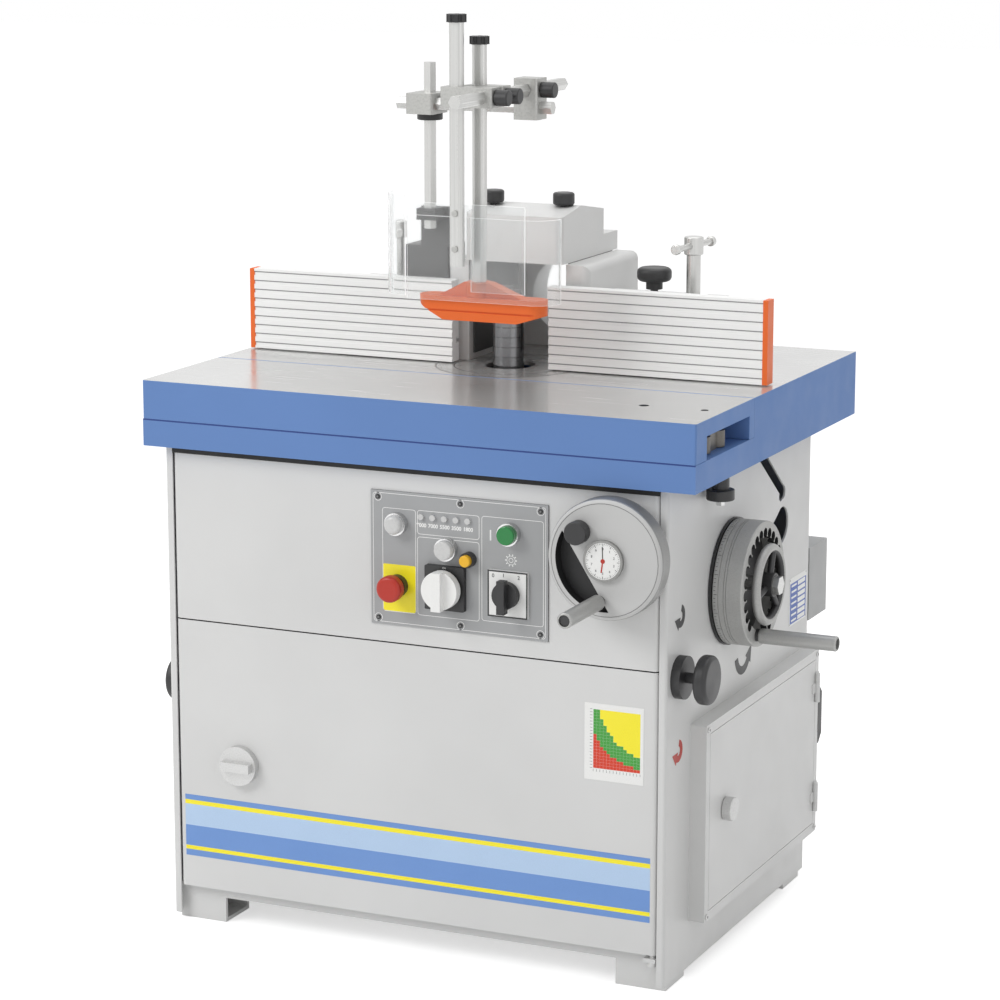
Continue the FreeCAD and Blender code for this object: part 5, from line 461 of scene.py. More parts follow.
cabinet = paint("cabinet_paint", CABINET_GREY)
fence_paint = paint("fence_paint", FENCE_GREY, gloss=0.34)
blue = paint("table_blue", TABLE_BLUE, gloss=0.44, specular=0.25)
panel_face = paint("panel_face", PANEL_GREY, gloss=0.42, peel=900.0)
wheel_paint = paint("wheel_paint", WHEEL_GREY, gloss=0.44, peel=700.0)
# The rim's cast skin in that darker grey is painted shade
shaded_wheel_rim = cast("shaded_wheel_rim", SHADED_RIM_GREY, metallic=0.45, gloss=0.36, scale=600.0)
drum_metal = cast("drum_casting", DRUM_GREY, metallic=0.25, gloss=0.4, scale=520.0)
grip_metal = cast("grip_aluminium", srgb(172, 172, 170), metallic=0.5, gloss=0.34, scale=700.0)
pocket_black = cast("pocket_black", srgb(34, 34, 35), metallic=0.0, gloss=0.5, scale=160.0)
table_steel = ground("ground_table", srgb(210, 210, 209), ALONG_X, gloss=0.12, metallic=0.5, line=0.9)
rail_steel = ground("rail_steel", srgb(112, 108, 102), ALONG_X, gloss=0.3, metallic=0.6)
rod_x_steel = ground("drawn_bar_x", BAR_GREY, ALONG_X)
rod_y_steel = ground("drawn_bar_y", BAR_GREY, ALONG_Y)
rod_z_steel = ground("drawn_bar_z", BAR_GREY, ALONG_Z)
zinc = cast("zinc_casting", srgb(178, 178, 175), metallic=0.7, gloss=0.34, scale=300.0)
anodised = ground("anodised_plate", ANODISED, ALONG_X, gloss=0.45, metallic=0.0, line=0.97)
# Painted shadow in the grooves of the fence plates
groove_shadow_grey = cast("groove_shadow_grey", srgb(150, 150, 150), metallic=0.2, gloss=0.5, scale=500.0)
dark_sheet = cast("dark_sheet", srgb(82, 82, 82), metallic=0.4, gloss=0.42, scale=500.0)
iron = cast("cast_iron", srgb(84, 85, 88), metallic=0.5, gloss=0.5)
bracket_iron = cast("bracket_iron", srgb(82, 82, 82), metallic=0.3, gloss=0.42, scale=420.0)
# Dark bolt metal, also used for painted shade round the table rings
bolt_dark_and_shade = cast("bolt_dark_and_shade", srgb(66, 66, 67), metallic=0.4, gloss=0.4, scale=700.0)
bezel = cast("bezel_metal", srgb(146, 146, 144), metallic=0.5, gloss=0.3, scale=700.0)
black = plastic("black_plastic", BLACK, gloss=0.36, scale=900.0)
# Black rubber, also used for painted shade in seams and below the table
rubber_and_shade = plastic("black_rubber_and_shade", srgb(34, 34, 34), gloss=0.6, scale=600.0)
orange = plastic("orange_plastic", ORANGE, gloss=0.34)
red = plastic("red_plastic", RED, gloss=0.28)
green = plastic("green_plastic", GREEN, gloss=0.15)
yellow = plastic("yellow_plastic", YELLOW, gloss=0.28)
amber = plastic("amber_plastic", AMBER, gloss=0.24)
chart_green = plastic("chart_green", CHART_GREEN, gloss=0.34)
chart_red = plastic("chart_red", CHART_RED, gloss=0.34)
white = plastic("white_plastic", WHITE, gloss=0.32)
grey_ink = plastic("grey_ink", srgb(120, 120, 120), gloss=0.5)
lens = plastic("lamp_lens", srgb(206, 206, 205), gloss=0.1, scale=240.0)
silver = ground("chromed_ring", srgb(214, 214, 214), ALONG_Y, gloss=0.14, metallic=1.0)
latch_metal = cast("latch_metal", srgb(204, 204, 203), metallic=0.5, gloss=0.3, scale=500.0)
motor_paint = paint("motor_paint", srgb(84, 96, 112), gloss=0.4)
box_paint = paint("enclosure_grey", srgb(176, 177, 177), gloss=0.4)
turned = turned_metal("turned_ring", srgb(178, 178, 178), srgb(122, 122, 122),
                      metallic=1.0, gloss=0.24, matt=0.38)
ring_steel = turned_metal("table_ring_steel", srgb(200, 200, 199), srgb(168, 168, 167),
                          metallic=0.5, gloss=0.14, matt=0.3)
spacer_steel = turned_metal("spacer_steel", srgb(150, 150, 152), srgb(92, 92, 93),
                            metallic=0.9, gloss=0.12, matt=0.22, bump=0.06, rings=300.0)
black_steel = turned_metal("blackened_steel", srgb(74, 74, 76), srgb(40, 40, 41),
                           metallic=0.85, gloss=0.12, matt=0.22, bump=0.06, rings=300.0)
clear = clear_sheet("clear_sheet", rough=0.03, tint=CLEAR_TINT, clearness=0.955)
# Painted light: the sheets' cut edges glow, for light the sheet carries to them
glowing_clear_edge = clear_sheet("sawn_clear_edge", rough=0.4, tint=SAWN_TINT, clearness=0.1, glow=0.35)
stripe_blue = plastic("stripe_blue", STRIPE_BLUE, gloss=0.34)
stripe_pale = plastic("stripe_pale", STRIPE_PALE, gloss=0.34)
plate_blue = plastic("plate_blue", PLATE_BLUE, gloss=0.34)
# Painted shade under the sliding table
shaded_table_blue = plastic("shaded_table_blue", SHADED_TABLE_BLUE, gloss=0.5)

# Digits of a millimetre to which corners are told apart
WELD_DIGITS = 2


class Island:
    """One closed solid of a node's mesh: its faces and its box."""

    def __init__(self, faces, points):
        self.faces = faces
        self.low = Vector(map(min, zip(*points)))
        self.high = Vector(map(max, zip(*points)))
        self.size = self.high - self.low
        self.centre = (self.high + self.low) / 2


def islands(node):
    """The closed solids of a CAD node, largest first: faces joined across edges that just two share."""
    mesh = NODES[node].data
    places = [tuple(round(c / MM, WELD_DIGITS) for c in v.co) for v in mesh.vertices]
    sharing = {}
    for face in mesh.polygons:
        corners = [places[v] for v in face.vertices]
        if len(set(corners)) == len(corners):
            for pair in zip(corners, corners[1:] + corners[:1]):
                sharing.setdefault(frozenset(pair), []).append(face.index)
    parent = list(range(len(mesh.polygons)))

    def root(i):
        while parent[i] != i:
            parent[i] = parent[parent[i]]
            i = parent[i]
        return i

    for faces in sharing.values():
        if len(faces) == 2:
            parent[root(faces[0])] = root(faces[1])
    groups = {}
    for face in mesh.polygons:
        groups.setdefault(root(face.index), []).append(face)
    made = []
    for faces in groups.values():
        points = [mesh.vertices[v].co for f in faces for v in f.vertices]
        made.append(Island(faces, points))
    return sorted(made, key=lambda i: -i.size.length)


def dress(name, base, *rules):
    """Gives a CAD node its materials: the base one, and for each rule the faces its test picks."""
    mesh = NODES[name].data
    mesh.materials.clear()
    for finish in (base, *(finish for _, finish in rules)):
        mesh.materials.append(finish)
    for island in islands(name):
        for face in island.faces:
            picked = (i for i, (test, _) in enumerate(rules, 1) if test(island, face))
            face.material_index = next(picked, 0)


def dress_plain(finish, *names):
    """Gives CAD nodes one finish all over."""
    for name in names:
        dress(name, finish)


# How squarely a face looks along an axis, how little when it stands across it or upright, and how near
# it is to the plane it belongs to
FACING = 0.9
ACROSS = 0.5
UPRIGHT = 0.3
CLOSE = 1.0 * MM


def longest(limit):
    """Picks solids whose longest side is under a limit."""
    return lambda solid, face: max(solid.size) < limit


def thinner(axis, limit):
    """Picks solids that measure less than a limit along an axis."""
    return lambda solid, face: getattr(solid.size, axis) < limit


def faces_up(height):
    """Picks faces that look up at a height."""
    return lambda solid, face: face.normal.z > FACING and abs(face.center.z - height) < CLOSE


def top_edge(solid, face):
    """Picks the faces that look up at the top of a solid."""
    return face.normal.z > FACING and face.center.z > solid.high.z - CLOSE


def bottom_edge(solid, face):
    """Picks the faces that look down at the bottom of a solid."""
    return face.normal.z < -FACING and face.center.z < solid.low.z + CLOSE


# Cabinet: the largest sizes of the solids that have a finish of their own
KNOB_FLANGE_MAX = 70.0 * MM
REAR_HANDLE_MAX = 120.0 * MM
CABLE_GLAND_MAX = 30.0 * MM
GASKET_T_MAX = 12.0 * MM
CONTACTOR_MAX = 100.0 * MM
MOUNT_PLATE_T_MAX = 10.0 * MM


def dress_cabinet():
    """The painted cabinet, its doors, boxes and hinges."""
    for side in ("side_panel_left", "side_panel_right"):
        dress(side, cabinet, (longest(KNOB_FLANGE_MAX), black))
    dress("rear_panel", cabinet, (longest(REAR_HANDLE_MAX), black))
    dress("rear_box", box_paint, (longest(CABLE_GLAND_MAX), black), (thinner("y", GASKET_T_MAX), rubber_and_shade))
    # Painted shade: the door's top edge and the panel's bottom edge are black, darkening the seam between
    # them
    dress("front_door", cabinet, (top_edge, rubber_and_shade))
    dress("upper_front_panel", cabinet, (bottom_edge, rubber_and_shade))
    dress("switch_box", cabinet, (longest(CONTACTOR_MAX), black), (thinner("x", MOUNT_PLATE_T_MAX), zinc))
    dress_plain(cabinet, "base_frame", "switch_box_door", "hinge_pins")
    dress_plain(latch_metal, "front_door_latch", "switch_box_latch")
    dress_plain(black, "left_clamp_knob", "right_clamp_knob", "jaw_lock_knob", "tilt_lock_knob")


# Control panel: how near a ring is to its button, and the sizes that tell its solids apart
RING_NEAR = 6.0 * MM
PLATE_W_MIN = 200.0 * MM
SWITCH_BASE_W_MIN = 50.0 * MM
SWITCH_BASE_W_MAX = 80.0 * MM
SELECTOR_T_MAX = 7.0 * MM
LENS_DEPTH_MAX = 23.0 * MM
LENS_W_MIN = 24.0 * MM
LENS_W_MAX = 32.0 * MM
SPEED_LAMP_MAX = 10.0 * MM
BUTTON_RING_MAX = 60.0 * MM


def middle(node):
    """The middle of a CAD node's box."""
    low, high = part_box(node)
    return (low + high) / 2


def is_switch_base(solid, face=None):
    """Picks the bases of the main switch and the selector."""
    return SWITCH_BASE_W_MIN < solid.size.x < SWITCH_BASE_W_MAX


def dress_controls():
    """The grey control plate and what is let into it."""
    stop, main, release = map(middle, ("emergency_stop", "main_switch_handle", "release_button"))

    def near(solid, spot):
        return (solid.centre.xz - spot.xz).length < RING_NEAR

    def black_ring(solid, face):
        return near(solid, stop) or near(solid, release)

    def plate_edge(solid, face):
        return solid.size.x > PLATE_W_MIN and abs(face.normal.y) < ACROSS

    def main_base(solid, face):
        return near(solid, main) and solid.size.x > SWITCH_BASE_W_MIN

    def lamp_glass(solid, face):
        return solid.size.y < LENS_DEPTH_MAX and LENS_W_MIN < solid.size.x < LENS_W_MAX

    dress("control_panel", panel_face, (black_ring, black), (plate_edge, rubber_and_shade), (main_base, black),
          (is_switch_base, white), (lamp_glass, lens), (longest(SPEED_LAMP_MAX), lens),
          (longest(BUTTON_RING_MAX), silver))
    dress("emergency_stop", red)
    dress("start_button", green)
    dress("reset_button", lens)
    dress("release_button", amber)
    dress("main_switch_handle", white)
    dress("selector_knob", black)


# Table: the opening around the spindle, the holes in the slide, and the sizes of its fittings
TABLE_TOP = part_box("sliding_table")[1].z
OPENING_R = 140.0 * MM
HOLE_INSET = 20.0 * MM
STOP_BOLT_MAX = 20.0 * MM
STOP_MAX = 60.0 * MM
RAIL_W_MAX = 60.0 * MM
GUIDE_POST_MAX = 60.0 * MM


def dress_table():
    """Blue castings with ground tops, steel rail and posts, turned rings."""
    def at_opening(solid, face):
        return (face.center.xy - SPINDLE_AXIS.xy).length < OPENING_R

    def in_hole(solid, face):
        inset = min(*(face.center.xy - solid.low.xy), *(solid.high.xy - face.center.xy))
        near_top = face.center.z > solid.high.z - HOLE_INSET
        return inset > HOLE_INSET and abs(face.normal.z) < UPRIGHT and near_top

    dress("main_table", blue, (faces_up(TABLE_TOP), table_steel), (longest(STOP_BOLT_MAX), silver),
          (longest(STOP_MAX), black), (thinner("y", RAIL_W_MAX), rail_steel), (at_opening, iron))
    dress("sliding_table", blue, (faces_up(TABLE_TOP), table_steel), (longest(GUIDE_POST_MAX), rail_steel),
          (in_hole, iron))
    dress("table_rings", ring_steel)
    dress("spindle", turned)
    dress("spacer_rings", spacer_steel)


# Drive and handwheels: where their pockets and rims are, and the sizes of their fittings
INDEX_RING_X = 400.0 * MM
BEARING_MAX = 80.0 * MM
WHEEL_POCKET_R = 77.5 * MM
WHEEL_RIM_R = 84.0 * MM
WHEEL_POCKET_FRONT = 2.0 * MM
WHEEL_POCKET_BACK = 21.0 * MM
GRIP_PIN_W_MAX = 50.0 * MM
DRUM_CAVITY_R = 85.5 * MM
DRUM_COVER_T_MAX = 10.0 * MM
CRANK_PIN_MAX = 160.0 * MM
LOCK_SPOKE_R = 52.0 * MM
DIAL_GLASS_T_MAX = 4.0 * MM


def dress_drive():
    """What sits inside the cabinet, and the two handwheels."""
    def index_ring(solid, face):
        return solid.low.x > INDEX_RING_X

    def wheel_reach(solid, face):
        return (face.center.xz - solid.centre.xz).length

    def in_pocket(solid, face):
        deep = face.center.y - solid.low.y
        return WHEEL_POCKET_FRONT < deep < WHEEL_POCKET_BACK and wheel_reach(solid, face) < WHEEL_POCKET_R

    # Faces round the rim take the darker grey: painted shade on the wheel's side
    def on_rim(solid, face):
        return abs(face.normal.y) < ACROSS and wheel_reach(solid, face) > WHEEL_RIM_R

    def drum_reach(solid, face):
        return (face.center.yz - solid.centre.yz).length

    def in_drum(solid, face):
        return drum_reach(solid, face) < DRUM_CAVITY_R and face.center.x < solid.high.x - CLOSE

    def lock_spokes(solid, face):
        return drum_reach(solid, face) < LOCK_SPOKE_R

    dress("tilt_cradle", iron, (index_ring, black))
    dress("quill_carriage", iron, (longest(BEARING_MAX), turned))
    dress("tilt_handwheel", wheel_paint, (thinner("x", GRIP_PIN_W_MAX), bolt_dark_and_shade),
          (in_pocket, pocket_black), (on_rim, shaded_wheel_rim))
    dress("height_drum", drum_metal, (thinner("x", DRUM_COVER_T_MAX), black),
          (longest(CRANK_PIN_MAX), bolt_dark_and_shade), (in_drum, pocket_black))
    dress("height_lock_wheel", drum_metal, (lock_spokes, bolt_dark_and_shade))
    dress("gravity_indicator", bezel, (thinner("y", DIAL_GLASS_T_MAX), white))
    dress("tilt_guides", iron)
    dress("drive_motor", motor_paint)
    dress("drive_belt", rubber_and_shade)
    dress("motor_pulley", black_steel)
    dress("tilt_worm_shaft", rod_y_steel)
    dress("height_shaft", rod_x_steel)
    dress("height_screw", rod_z_steel)
    dress_plain(grip_metal, "tilt_grip", "height_grip")


# Fence: how high its guard bracket starts above the table, and the sizes of its fittings
BRACKET_RISE = 100.0 * MM
HOUSING_SHEET_T_MAX = 5.0 * MM
HOOD_KNOB_MAX = 80.0 * MM
PLATE_CAP_W_MAX = 20.0 * MM


def dress_fence():
    """Painted castings, grooved plates with orange ends, chromed clamp screws."""
    def bracket(solid, face):
        return solid.low.z > TABLE_TOP + BRACKET_RISE

    dress("fence_fittings", fence_paint, (thinner("x", HOUSING_SHEET_T_MAX), dark_sheet),
          (bracket, bracket_iron))
    dress("extraction_hood", fence_paint, (longest(HOOD_KNOB_MAX), black))
    dress_plain(fence_paint, "fence_casting", "right_jaw")
    for side in ("left", "right"):
        dress("fence_plate_" + side, anodised, (thinner("x", PLATE_CAP_W_MAX), orange))
        dress("clamp_screw_" + side, rod_z_steel)
        dress("tommy_bar_" + side, rod_y_steel)


# Guard: the thickness of a sheet with some room, and the sizes of the fittings
SHIELD_T = 3.5 * MM
COLLAR_H_MAX = 20.0 * MM
GUARD_KNOB_MAX = 36.0 * MM
GUARD_CLAMP_MAX = 120.0 * MM
STAR_CAP_W_MIN = 25.0 * MM
BAR_FITTING_MAX = 60.0 * MM


def dress_guard():
    """Bars, clamps, knobs, clear sheets and the orange shoe."""
    knob, clamp = longest(GUARD_KNOB_MAX), longest(GUARD_CLAMP_MAX)
    dress("guard_column", rod_z_steel, (thinner("z", COLLAR_H_MAX), black), (knob, black), (clamp, zinc))
    dress("guard_x_bar", rod_x_steel, (knob, black), (clamp, zinc))
    dress("guard_y_bar", rod_y_steel, (knob, black), (clamp, zinc))

    def star_cap(solid, face):
        return solid.size.x > STAR_CAP_W_MIN

    def cut_edge(solid, face):
        flat_end = abs(face.normal.x) > FACING and face.center.y < solid.low.y + SHIELD_T
        return abs(face.normal.z) > FACING or face.center.y > solid.high.y - CLOSE or flat_end

    dress("guard_bar_front", rod_z_steel, (star_cap, black), (longest(BAR_FITTING_MAX), zinc))
    dress("guard_bar_rear", rod_z_steel, (longest(BAR_FITTING_MAX), black))
    # Cut edges get the glowing finish, a painted light
    dress("clear_shields", clear, (cut_edge, glowing_clear_edge))
    dress("pressure_shoe", orange)


class Plane:
    """A flat face to draw on: its origin, its right and up directions, and the way it looks out."""

    def __init__(self, origin, right, up):
        self.origin = Vector(origin)
        self.right = Vector(right).normalized()
        self.up = Vector(up).normalized()
        self.out = self.right.cross(self.up)

    def at(self, across, rise, lift):
        return self.origin + self.right * across + self.up * rise + self.out * lift

    def frame(self, across, rise, lift):
        turned_axes = Matrix((self.right, self.up, self.out)).transposed().to_4x4()
        return Matrix.Translation(self.at(across, rise, lift)) @ turned_axes


def front_plane(y, x=0.0, z=0.0):
    """The upright plane at a depth, seen from the front."""
    return Plane((x, y, z), (1, 0, 0), (0, 0, 1))


def front_of(island):
    """The plane of a solid's front, from its middle."""
    return front_plane(island.low.y, island.centre.x, island.centre.z)


def side_plane(x, y=0.0, z=0.0):
    """The upright plane at a width, seen from the right."""
    return Plane((x, y, z), (0, 1, 0), (0, 0, 1))


def top_plane(z):
    """The level plane at a height, seen from above."""
    return Plane((0.0, 0.0, z), (1, 0, 0), (0, 1, 0))


def add_object(name, data):
    """A new object in the scene."""
    made = bpy.data.objects.new(name, data)
    bpy.context.scene.collection.objects.link(made)
    return made


def mesh_piece(name, build, body, *finishes):
    """A new piece built by a function that fills a bmesh, riding on a body."""
    mesh = bpy.data.meshes.new(name)
    bm = bmesh.new()
    build(bm)
    bmesh.ops.recalc_face_normals(bm, faces=bm.faces)
    bm.to_mesh(mesh)
    bm.free()
    for finish in finishes:
        mesh.materials.append(finish)
    made = add_object(name, mesh)
    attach(made, body)


def figures(name, text, plane, across, rise, size, finish, body, bold=0.0):
    """Plain printed figures, centred on a point of a plane."""
    curve = bpy.data.curves.new(name, "FONT")
    curve.body = text
    curve.size = size
    curve.extrude = INK_T
    curve.offset = bold
    curve.align_x = "CENTER"
    curve.align_y = "CENTER"
    curve.materials.append(finish)
    made = add_object(name, curve)
    made.matrix_world = plane.frame(across, rise, SHEET_LIFT + INK_T)
    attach(made, body)


def walls(bm, low, high):
    """The faces between two rings with as many points each."""
    turned_low, turned_high = low[1:] + low[:1], high[1:] + high[:1]
    return [bm.faces.new(corners) for corners in zip(low, turned_low, turned_high, high)]


def slab(bm, plane, outline, lift=SHEET_LIFT, thick=SHEET_T, finish=0):
    """A thin sheet with the outline, lifted off the plane."""
    low = [bm.verts.new(plane.at(x, y, lift)) for x, y in outline]
    high = [bm.verts.new(plane.at(x, y, lift + thick)) for x, y in outline]
    for face in [bm.faces.new(low[::-1]), bm.faces.new(high)] + walls(bm, low, high):
        face.material_index = finish


def ink(bm, plane, outline, finish):
    """Ink on a printed sheet."""
    slab(bm, plane, outline, INK_LIFT, INK_T, finish)


def oblong(x0, x1, y0, y1):
    """The four corners of a rectangle."""
    return [(x0, y0), (x1, y0), (x1, y1), (x0, y1)]


def around(x, y, radius, turn):
    """The point at a distance and a turn in radians from a centre."""
    return x + radius * math.cos(turn), y + radius * math.sin(turn)


def disc(x, y, radius, steps=ARC_STEPS):
    """A round outline."""
    return [around(x, y, radius, 2 * math.pi * i / steps) for i in range(steps)]


def ray(x, y, degrees, r0, r1, width):
    """A short straight stroke pointing away from a centre."""
    t = math.radians(degrees)
    ax, ay = math.cos(t), math.sin(t)
    half = width / 2
    corners = ((r0, -half), (r0, half), (r1, half), (r1, -half))
    return [(x + ax * r + ay * side, y + ay * r - ax * side) for r, side in corners]


def rounded(x0, x1, y0, y1, radius):
    """A rectangle's outline with round corners."""
    points = []
    corners = ((x1 - radius, y1 - radius), (x0 + radius, y1 - radius), (x0 + radius, y0 + radius),
               (x1 - radius, y0 + radius))
    for quarter, (x, y) in enumerate(corners):
        for i in range(CORNER_STEPS + 1):
            points.append(around(x, y, radius, math.pi / 2 * (quarter + i / CORNER_STEPS)))
    return points


def band(bm, plane, outer, inner, lift=SHEET_LIFT, thick=INK_T):
    """A flat frame between two outlines with as many points each."""
    rings = [[bm.verts.new(plane.at(x, y, h)) for x, y in line]
             for line, h in ((outer, lift), (outer, lift + thick), (inner, lift + thick), (inner, lift))]
    for ring, following in zip(rings, rings[1:] + rings[:1]):
        walls(bm, ring, following)


def line_box(bm, plane, x0, x1, y0, y1, radius):
    """A printed line along a rectangle with round corners."""
    half = LINE_W / 2
    band(bm, plane, rounded(x0 - half, x1 + half, y0 - half, y1 + half, radius + half),
         rounded(x0 + half, x1 - half, y0 + half, y1 - half, radius - half))


def line_ring(bm, plane, x, y, radius, width=LINE_W, lift=SHEET_LIFT):
    """A printed line along a circle."""
    band(bm, plane, disc(x, y, radius + width / 2, 2 * ARC_STEPS),
         disc(x, y, radius - width / 2, 2 * ARC_STEPS), lift)


# Head of a bent arrow, in widths of its line
ARROW_HEAD_L_SHARE = 2.0
ARROW_WING_SHARES = (1.0, -1.0)


def arc_arrow(bm, plane, x, y, radius, width, start, end):
    """A bent arrow between two angles in degrees, with its head at the second."""
    turns = [math.radians(start + (end - start) * i / ARC_STEPS) for i in range(ARC_STEPS + 1)]
    outer = [around(x, y, radius + width / 2, t) for t in turns]
    inner = [around(x, y, radius - width / 2, t) for t in turns]
    for i in range(ARC_STEPS):
        slab(bm, plane, [outer[i], outer[i + 1], inner[i + 1], inner[i]])
    last = turns[-1]
    ahead = math.copysign(ARROW_HEAD_L_SHARE * width, end - start)
    neck_x, neck_y = around(x, y, radius, last)
    tip = (neck_x - ahead * math.sin(last), neck_y + ahead * math.cos(last))
    wings = [around(x, y, radius + share * width, last) for share in ARROW_WING_SHARES]
    slab(bm, plane, [wings[0], tip, wings[1]])


def lathe(bm, plane, x, y, profile, finish):
    """A round body standing on a plane, from pairs of radius and lift, closed at both ends."""
    rings = [[bm.verts.new(plane.at(px, py, lift)) for px, py in disc(x, y, radius)]
             for radius, lift in profile]
    faces = [bm.faces.new(rings[0][::-1]), bm.faces.new(rings[-1])]
    for ring, following in zip(rings, rings[1:]):
        sides = walls(bm, ring, following)
        for face in sides:
            face.smooth = True
        faces += sides
    for face in faces:
        face.material_index = finish


# Screw heads
SCREW_RISE = 2.2 * MM
SCREW_EDGE_SHARE = 0.2
SOCKET_SHARE = 0.5
SOCKET_SIDES = 6


def socket_screw(bm, plane, x, y, radius):
    """A screw head in the piece's first finish, with a hexagon socket in its second."""
    edge = radius * SCREW_EDGE_SHARE
    profile = ((radius, 0.0), (radius, SCREW_RISE - edge), (radius - edge, SCREW_RISE))
    lathe(bm, plane, x, y, profile, finish=0)
    slab(bm, plane, disc(x, y, radius * SOCKET_SHARE, SOCKET_SIDES), SCREW_RISE, INK_T, finish=1)


# Door stripe: a blue band with pale and yellow lines, each with its two ends and its finish
STRIPE_LOW = 108.0 * MM
STRIPE_HIGH = 207.0 * MM
STRIPE_INSET = 10.0 * MM
STRIPE_SHARES = ((0.0, 0.10, 0), (0.10, 0.165, 2), (0.165, 0.5, 0), (0.5, 0.845, 1), (0.845, 0.915, 2),
                 (0.915, 1.0, 0))


def door_stripe():
    """The printed band across the lower door."""
    low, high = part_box("front_door")
    rise = STRIPE_HIGH - STRIPE_LOW

    def build(bm):
        for start, end, finish in STRIPE_SHARES:
            line = oblong(low.x + STRIPE_INSET, high.x - STRIPE_INSET, STRIPE_LOW + rise * start,
                          STRIPE_LOW + rise * end)
            slab(bm, front_plane(low.y), line, thick=INK_T, finish=finish)

    mesh_piece("door_stripe", build, BODY_OF["front_door"], stripe_blue, stripe_pale, yellow)


# Speed chart: tool diameter over spindle speed, coloured by rim speed
CHART_LOW = (285.0 * MM, 316.0 * MM)
CHART_HIGH = (378.0 * MM, 432.0 * MM)
CHART_FIELD_LEFT = 14.0 * MM
CHART_FIELD_LOW = 18.0 * MM
CHART_FIELD_EDGE = 5.0 * MM
CHART_FIELD_TOP = 9.0 * MM
CHART_COLUMNS = 14
CHART_ROWS = 19
CHART_SPEEDS = (3000.0, 11300.0)
CHART_DIAMETERS = (0.04, 0.294)
RIM_SPEED_FAST = 55.0
RIM_SPEED_SLOW = 28.0
MINUTE = 60.0
CELL_GAP = 0.15 * MM
TICK_W = 0.5 * MM
TICK_L = 4.0 * MM
TICK_GAP = 1.5 * MM
CHART_SHEET, CHART_FAST, CHART_GOOD, CHART_SLOW, CHART_TICK = range(5)


def speed_chart():
    """A sticker with a grid coloured by rim speed, and plain tick marks."""
    plane = front_plane(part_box("front_door")[0].y)
    x0, x1 = CHART_LOW[0] + CHART_FIELD_LEFT, CHART_HIGH[0] - CHART_FIELD_EDGE
    y0, y1 = CHART_LOW[1] + CHART_FIELD_LOW, CHART_HIGH[1] - CHART_FIELD_TOP
    wide, tall = (x1 - x0) / CHART_COLUMNS, (y1 - y0) / CHART_ROWS

    def colour(column, row):
        speed = CHART_SPEEDS[0] + (CHART_SPEEDS[1] - CHART_SPEEDS[0]) * column / CHART_COLUMNS
        diameter = CHART_DIAMETERS[0] + (CHART_DIAMETERS[1] - CHART_DIAMETERS[0]) * row / CHART_ROWS
        rim = math.pi * diameter * speed / MINUTE
        if rim > RIM_SPEED_FAST:
            return CHART_FAST
        return CHART_GOOD if rim > RIM_SPEED_SLOW else CHART_SLOW

    def build(bm):
        sheet = oblong(CHART_LOW[0], CHART_HIGH[0], CHART_LOW[1], CHART_HIGH[1])
        slab(bm, plane, sheet, finish=CHART_SHEET)
        for column in range(CHART_COLUMNS):
            for row in range(CHART_ROWS):
                finish = colour(column, row)
                gap = 0.0 if finish == CHART_FAST else CELL_GAP
                x, y = x0 + column * wide, y0 + row * tall
                ink(bm, plane, oblong(x, x + wide - gap, y, y + tall - gap), finish)
        for column in range(CHART_COLUMNS + 1):
            x = x0 + column * wide
            tick = oblong(x - TICK_W / 2, x + TICK_W / 2, y0 - TICK_GAP - TICK_L, y0 - TICK_GAP)
            ink(bm, plane, tick, CHART_TICK)
        for row in range(CHART_ROWS + 1):
            y = y0 + row * tall
            tick = oblong(x0 - TICK_GAP - TICK_L, x0 - TICK_GAP, y - TICK_W / 2, y + TICK_W / 2)
            ink(bm, plane, tick, CHART_TICK)

    mesh_piece("speed_chart", build, BODY_OF["front_door"], white, yellow, chart_green, chart_red, black)


# Control plate: printed boxes, figures and screws, from the plate's middle in millimetres
PANEL_BOXES = ((-124.5, -70.0, -81.0, 76.0), (-67.0, 33.4, 41.0, 76.5), (-67.0, 33.4, -82.0, 36.5),
               (37.8, 136.5, -80.0, 77.0))
PANEL_BOX_R = 4.0 * MM
PANEL_EDGE = (-140.0, 140.0, -98.0, 98.0)
STOP_FIELD = (-124.0, -70.5, -80.5, -9.0)
PANEL_SCREWS = ((-132.0, 92.0), (3.0, 92.0), (132.0, 92.0), (-132.0, -92.0), (3.0, -92.0), (132.0, -92.0))
PANEL_SCREW_R = 3.6 * MM
PANEL_SCREW_RING_R = 6.0 * MM
SPEED_FIGURES = ("9000", "7000", "5500", "3500", "1800")
SPEED_SIZE = 8.0 * MM
SPEED_BOLD = 0.3 * MM
SPEED_DROP = 13.0 * MM
START_BAR = (50.6, 53.0, 41.5, 57.5)
SPINDLE_MARK = (84.7, 14.8)
SPINDLE_MARK_R = 6.5 * MM
SPINDLE_MARK_TEETH = 10
SPINDLE_TOOTH = 3.0 * MM

# Selector and main switch: each figure with its place in shares of its base's size
SELECTOR_BORDER = 2.2 * MM
SELECTOR_FIGURES = (("0", -0.36, 0.38), ("1", -0.1, 0.4), ("2", 0.28, 0.38))
SELECTOR_SIZE = 8.0 * MM
SWITCH_FIGURES = (("ON", 0.0, 0.46), ("OFF", -0.42, 0.0))
SWITCH_SIZE = 3.6 * MM
PANEL_BODY = BODY_OF["control_panel"]


def scaled(values):
    """Millimetres as metres."""
    return [v * MM for v in values]


